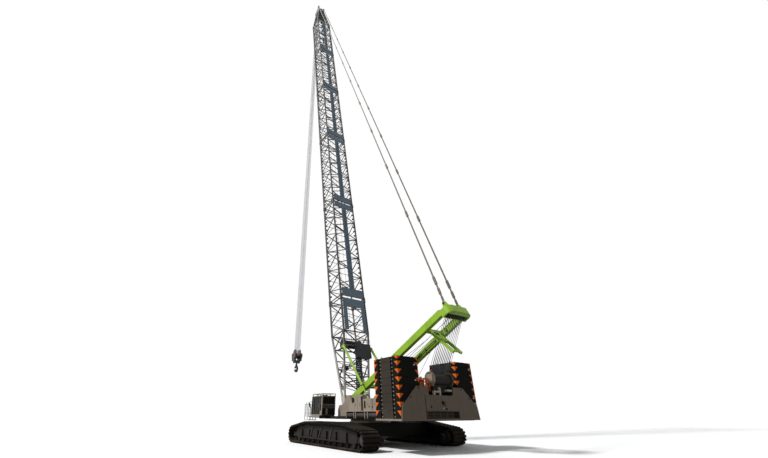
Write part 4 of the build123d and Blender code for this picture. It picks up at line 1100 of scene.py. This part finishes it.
joined(pieces, "headBracing", "lacingShadeGrey", "boom")
top = onBoom(*head["gauge"])
arm = top + Vector((0, 0, 0.09))
pieces = [addRod(top, top + Vector((0, 0, 0.1)), 0.008, 6), addRod(arm, arm + Vector((0, 0.09, 0)), 0.006, 6)]
joined(pieces, "gaugeMast", "darkSteel", "boom")
pieces = [boxOn(boomLine, *head["lamp"])]
for d, y, s in head["blocks"]:
    pieces.append(boxOn(boomLine, (d - 40, y - 40, s), (d + 40, y + 40, s + 120), 8))
joined(pieces, "headLamp", "limeDark", "boom")
settle(rodOn(boomLine, *butt["roller"]), "buttRoller", "winding", "boom")
print("boom details")

# cab: dark trims round the panes, door handle, rear panels, lamps and mirror, guard rails and step

cab = {
    "rear": 1110,
    "lean": 50,
    "floor": 925,
    "roof": 1615,
    "sideY": (1450, 1453),
    "sides": (
        [(1842, 955), (2012, 955), (1985, 1300), (1960, 1596), (1842, 1596)],
        [(1160, 1596), (1293, 1596), (1293, 1040)],
    ),
    "lip": 0.012,
    "doorZ": (0.965, 1.588),
    "doorY": (1.4502, 1.4532),
    "rearLevels": (940, 1165, 1296),
    "base": ((1330, 1380, 848), (2015, 1456, 922), 8),
    "lamps": (1180, 1420, 1660, 1900),
    "boxes": (((2044, 1500, 1240), (2062, 1550, 1380), 6), ((1100, 1200, 1330), (1112, 1208, 1560))),
    "arms": (
        ((1940, 1462, 1180), (2060, 1520, 1230), 8),
        ((1940, 1462, 1420), (2060, 1520, 1400), 8),
        ((1120, 1400, 1600), (1960, 1400, 1600), 8),
    ),
    "railX": (2140, 2400, 2640),
    "railY": (1180, 1420),
    "railZ": (756, 1010, 1335),
    "railRadius": 14,
    "step": ((2030, 1180, 748), (2645, 1422, 764), 4),
}
joined([outlineAt(points, *cab["sideY"]) for points in cab["sides"]], "cabSideTrim", "trim", "upper")
paneLow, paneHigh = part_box("cab_door_glass")
doorLow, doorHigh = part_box("cab_door")
lip, (low, high) = cab["lip"], cab["doorZ"]
strips = (
    (doorLow[0] + lip, paneLow[0] + lip, low, high),
    (paneHigh[0] - lip, doorHigh[0] - lip, low, high),
    (paneLow[0], paneHigh[0], low, paneLow[2] + lip),
    (paneLow[0], paneHigh[0], paneHigh[2] - lip, high),
)
near, far = cab["doorY"]
joined([addBox((x0, near, z0), (x1, far, z1)) for x0, x1, z0, z1 in strips], "doorTrim", "trim", "door")
grip = Vector((doorLow[0] + 0.05, 1.462, 1.2))
settle(addRod(grip, grip + Vector((0, 0, 0.12)), 0.007), "doorHandle", "paleSteel", "door")


def cabRear(z):
    return cab["rear"] + cab["lean"] * (cab["roof"] - z) / (cab["roof"] - cab["floor"])


def rearPanel(low, high, y0, y1):
    x0, x1 = cabRear(low), cabRear(high)
    return outlineAt([(x0 - 6, low), (x0 - 1, low), (x1 - 1, high), (x1 - 6, high)], y0, y1)


low, middle, high = cab["rearLevels"]
settle(rearPanel(low, middle, 868, 1425), "cabRearTrim", "trim", "upper")
settle(rearPanel(middle, high, 868, 1400), "cabRearPanel", "trimGrey", "upper")
x0, x1 = cabRear(low), cabRear(middle)
post = outlineAt([(x0 - 34, 945), (x0 - 4, 945), (x1 - 4, 1165), (x1 - 18, 1165)], 1205, 1290)
joined([post, boxAt(*cab["base"])], "cabBase", "taupe", "upper")
lamps = [((x, 1180, 1608), (x + 60, 1240, 1652), 8) for x in cab["lamps"]]
fitting("cabFittings", "darkSteel", [*lamps, *cab["boxes"]], cab["arms"])
rods = []
x0, x1 = cab["railX"][0], cab["railX"][-1]
y0, y1 = cab["railY"]
for y in cab["railY"]:
    rods += [((x, y, cab["railZ"][0]), (x, y, cab["railZ"][-1])) for x in cab["railX"]]
    rods += [((x0, y, z), (x1, y, z)) for z in cab["railZ"]]
rods += [((x1, y0, z), (x1, y1, z)) for z in cab["railZ"]]
fitting("cabRails", "white", rods=[(start, end, cab["railRadius"]) for start, end in rods])
fitting("cabStep", "trimGrey", [cab["step"]])
print("cab fittings")

# lockers: posts over the tanks, seams, openings, latches and a filler cap

lockers = {
    "posts": (-1900, -1422, -1270, -744, -640, -160),
    "sill": ((-2330, 1176, 1040), (120, 1190, 1066), 4),
    "openings": (((-208, 868, 1345), (-70, 875, 1500), 10), ((-905, 868, 1145), (-812, 875, 1378), 6)),
    "seams": ((-424, -416, 1521), (-1320, -1313, 1420), (-1700, -1693, 1420)),
    "wall": 868,
    "holes": ((-1109, 1192), (-1290, 1177), (-1500, 1190)),
    "cap": ((-110, 868, 1370), (-110, 890, 1370), 34, 16, 10),
    "latches": (-300, -560, -1040, -1420, -1600, -1800),
}
posts = [((x - 16, 1176, 838), (x + 16, 1188, 1042), 3) for x in lockers["posts"]]
fitting("tankPosts", "taupe", [*posts, lockers["sill"]])
wall = lockers["wall"]
seams = [((x0, wall, 1085), (x1, wall + 5, z)) for x0, x1, z in lockers["seams"]]
holes = [((x, wall, z), (x, wall + 7, z), 26, 14) for x, z in lockers["holes"]]
fitting("lockerOpenings", "trim", [*lockers["openings"], *seams], holes)
latches = [((x - 8, wall, 1230), (x + 8, wall + 12, 1300), 4) for x in lockers["latches"]]
fitting("lockerLatches", "darkSteel", latches, [lockers["cap"]])

# engine house: doors, louvres, hinges and handles

houseLow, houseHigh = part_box("engine_house")
house = {
    "wall": houseLow[1] * 1000,
    "z": (1120, 1690),
    "doors": ((0.03, 0.18, False), (0.2, 0.37, True), (0.39, 0.555, False), (0.86, 0.97, False)),  # vented or not
    "hinges": (1200, 1560),
    "slat": ((-0.15, -0.004, -0.014), (0.15, 0.004, 0.014), 0.002),
    "slats": 11,
    "slatFrom": 1230,
    "slatPitch": 38,
    "slatTurn": math.radians(28),
}
doors, handles, spots = [], [], []
wall = house["wall"]
low, high = house["z"]
for start, end, vented in house["doors"]:
    x0, x1 = ((houseLow[0] + (houseHigh[0] - houseLow[0]) * share - axisX) * 1000 for share in (start, end))
    doors.append(((x0, wall - 7, low), (x1, wall + 1, high), 5))
    handles.append(((x1 - 60, wall - 18, 1400), (x1 - 36, wall - 7, 1480), 4))
    handles += [((x0 + 6, wall - 14, z), (x0 + 26, wall - 7, z + 60), 3) for z in house["hinges"]]
    for row in range(house["slats"] if vented else 0):
        spot = place((x0 + x1) / 2, wall - 10, house["slatFrom"] + house["slatPitch"] * row)
        spots.append(Matrix.Translation(spot) @ Matrix.Rotation(house["slatTurn"], 4, "X"))
fitting("houseDoors", "taupe", doors)
fitting("houseHandles", "darkSteel", handles)
repeat(addBox(*house["slat"]), spots, "houseLouvres", "darkSteel", "upper")
print("lockers and engine house")

# hook block: warning marks on the rear edge

blockLow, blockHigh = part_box("hook_block")
hookMarks = {"count": 3, "pitch": 0.07, "tall": 0.048, "wide": 0.055, "long": 0.05, "proud": 0.003}
pieces = []
for k in range(hookMarks["count"]):
    z = (blockLow[2] + blockHigh[2]) / 2 - 0.05 + hookMarks["pitch"] * k
    for y, edge in ((blockHigh[1], 1), (blockLow[1], -1)):
        y0, y1 = sorted((y - edge * hookMarks["wide"], y + edge * hookMarks["proud"]))
        x = blockLow[0]
        pieces.append(addBox((x - hookMarks["proud"], y0, z), (x + hookMarks["long"], y1, z + hookMarks["tall"])))
joined(pieces, "hookStripes", "orange", "hook_frame")
print("hook fittings")

# setting: camera, pale surroundings, floor and sun

setting = {
    "cameraPlace": (-10.845, 8.187, 0.982),
    "cameraYaw": -32.49,
    "cameraPitch": 26.88,
    "lens": 15.02,
    "shift": (0.0553, 0.0289),
    "sunStrength": 3.5,
    "sunFrom": (0.3, 1.0, 1.2),
    "sunWidth": 8,
    "skyColor": (0.95, 0.97, 1, 1),
    "skyStrength": 0.32,
    "floorSize": 400,
    "floorSeen": (0.9, 0.9, 0.9, 1),
    "floorBounce": (0.2, 0.2, 0.2, 1),
    "floorRoughness": 0.9,
}
scene = bpy.context.scene
scene.view_settings.view_transform = "Standard"

cameraData = bpy.data.cameras.new("camera")
camera = linked("camera", cameraData)
camera.location = Vector(setting["cameraPlace"]) + Vector((axisX, 0, 0))
camera.rotation_euler = (math.radians(90 + setting["cameraPitch"]), 0, math.radians(setting["cameraYaw"] - 90))
cameraData.sensor_width = 36
cameraData.lens = setting["lens"]
cameraData.shift_x, cameraData.shift_y = setting["shift"]
cameraData.clip_end = 400
scene.camera = camera

world = bpy.data.worlds.new("studio")
scene.world = world
world.use_nodes = True
tree = world.node_tree
tree.nodes.clear()
rays = addNode(tree, "ShaderNodeLightPath", -400, 0).outputs
glow = {"Color": setting["skyColor"], "Strength": setting["skyStrength"]}
lit = addNode(tree, "ShaderNodeBackground", 100, 100, glow)
shown = addNode(tree, "ShaderNodeBackground", 100, -100, {"Color": (1, 1, 1, 1), "Strength": 1})
seen = addMath(tree, "MAXIMUM", -200, 0, rays["Is Camera Ray"], rays["Is Glossy Ray"])
seen = addMath(tree, "MAXIMUM", -50, 0, seen, rays["Is Transmission Ray"])
sky = addNode(tree, "ShaderNodeMixShader", 400, 0, {0: seen, 1: lit.outputs[0], 2: shown.outputs[0]})
addNode(tree, "ShaderNodeOutputWorld", 600, 0, {0: sky.outputs[0]})

floor = added(bpy.ops.mesh.primitive_plane_add, size=setting["floorSize"], location=(0, 0, 0))
floor.name = "studioFloor"
floorFinish, tree, shader = newMaterial("studioFloor")
rays = addNode(tree, "ShaderNodeLightPath", -900, 0).outputs
seen = addMath(tree, "MAXIMUM", -700, 0, rays["Is Camera Ray"], rays["Is Glossy Ray"])
tone = addTint(tree, -400, 0, seen, setting["floorBounce"], setting["floorSeen"])
feed(tree, shader, {"Base Color": tone, "Roughness": setting["floorRoughness"]})
floor.data.materials.append(floorFinish)

sunData = bpy.data.lights.new("sun", "SUN")
sunData.energy = setting["sunStrength"]
sunData.angle = math.radians(setting["sunWidth"])
sun = linked("sun", sunData)
sun.rotation_euler = Vector(setting["sunFrom"]).to_track_quat("Z", "Y").to_euler()
print("setting ready")
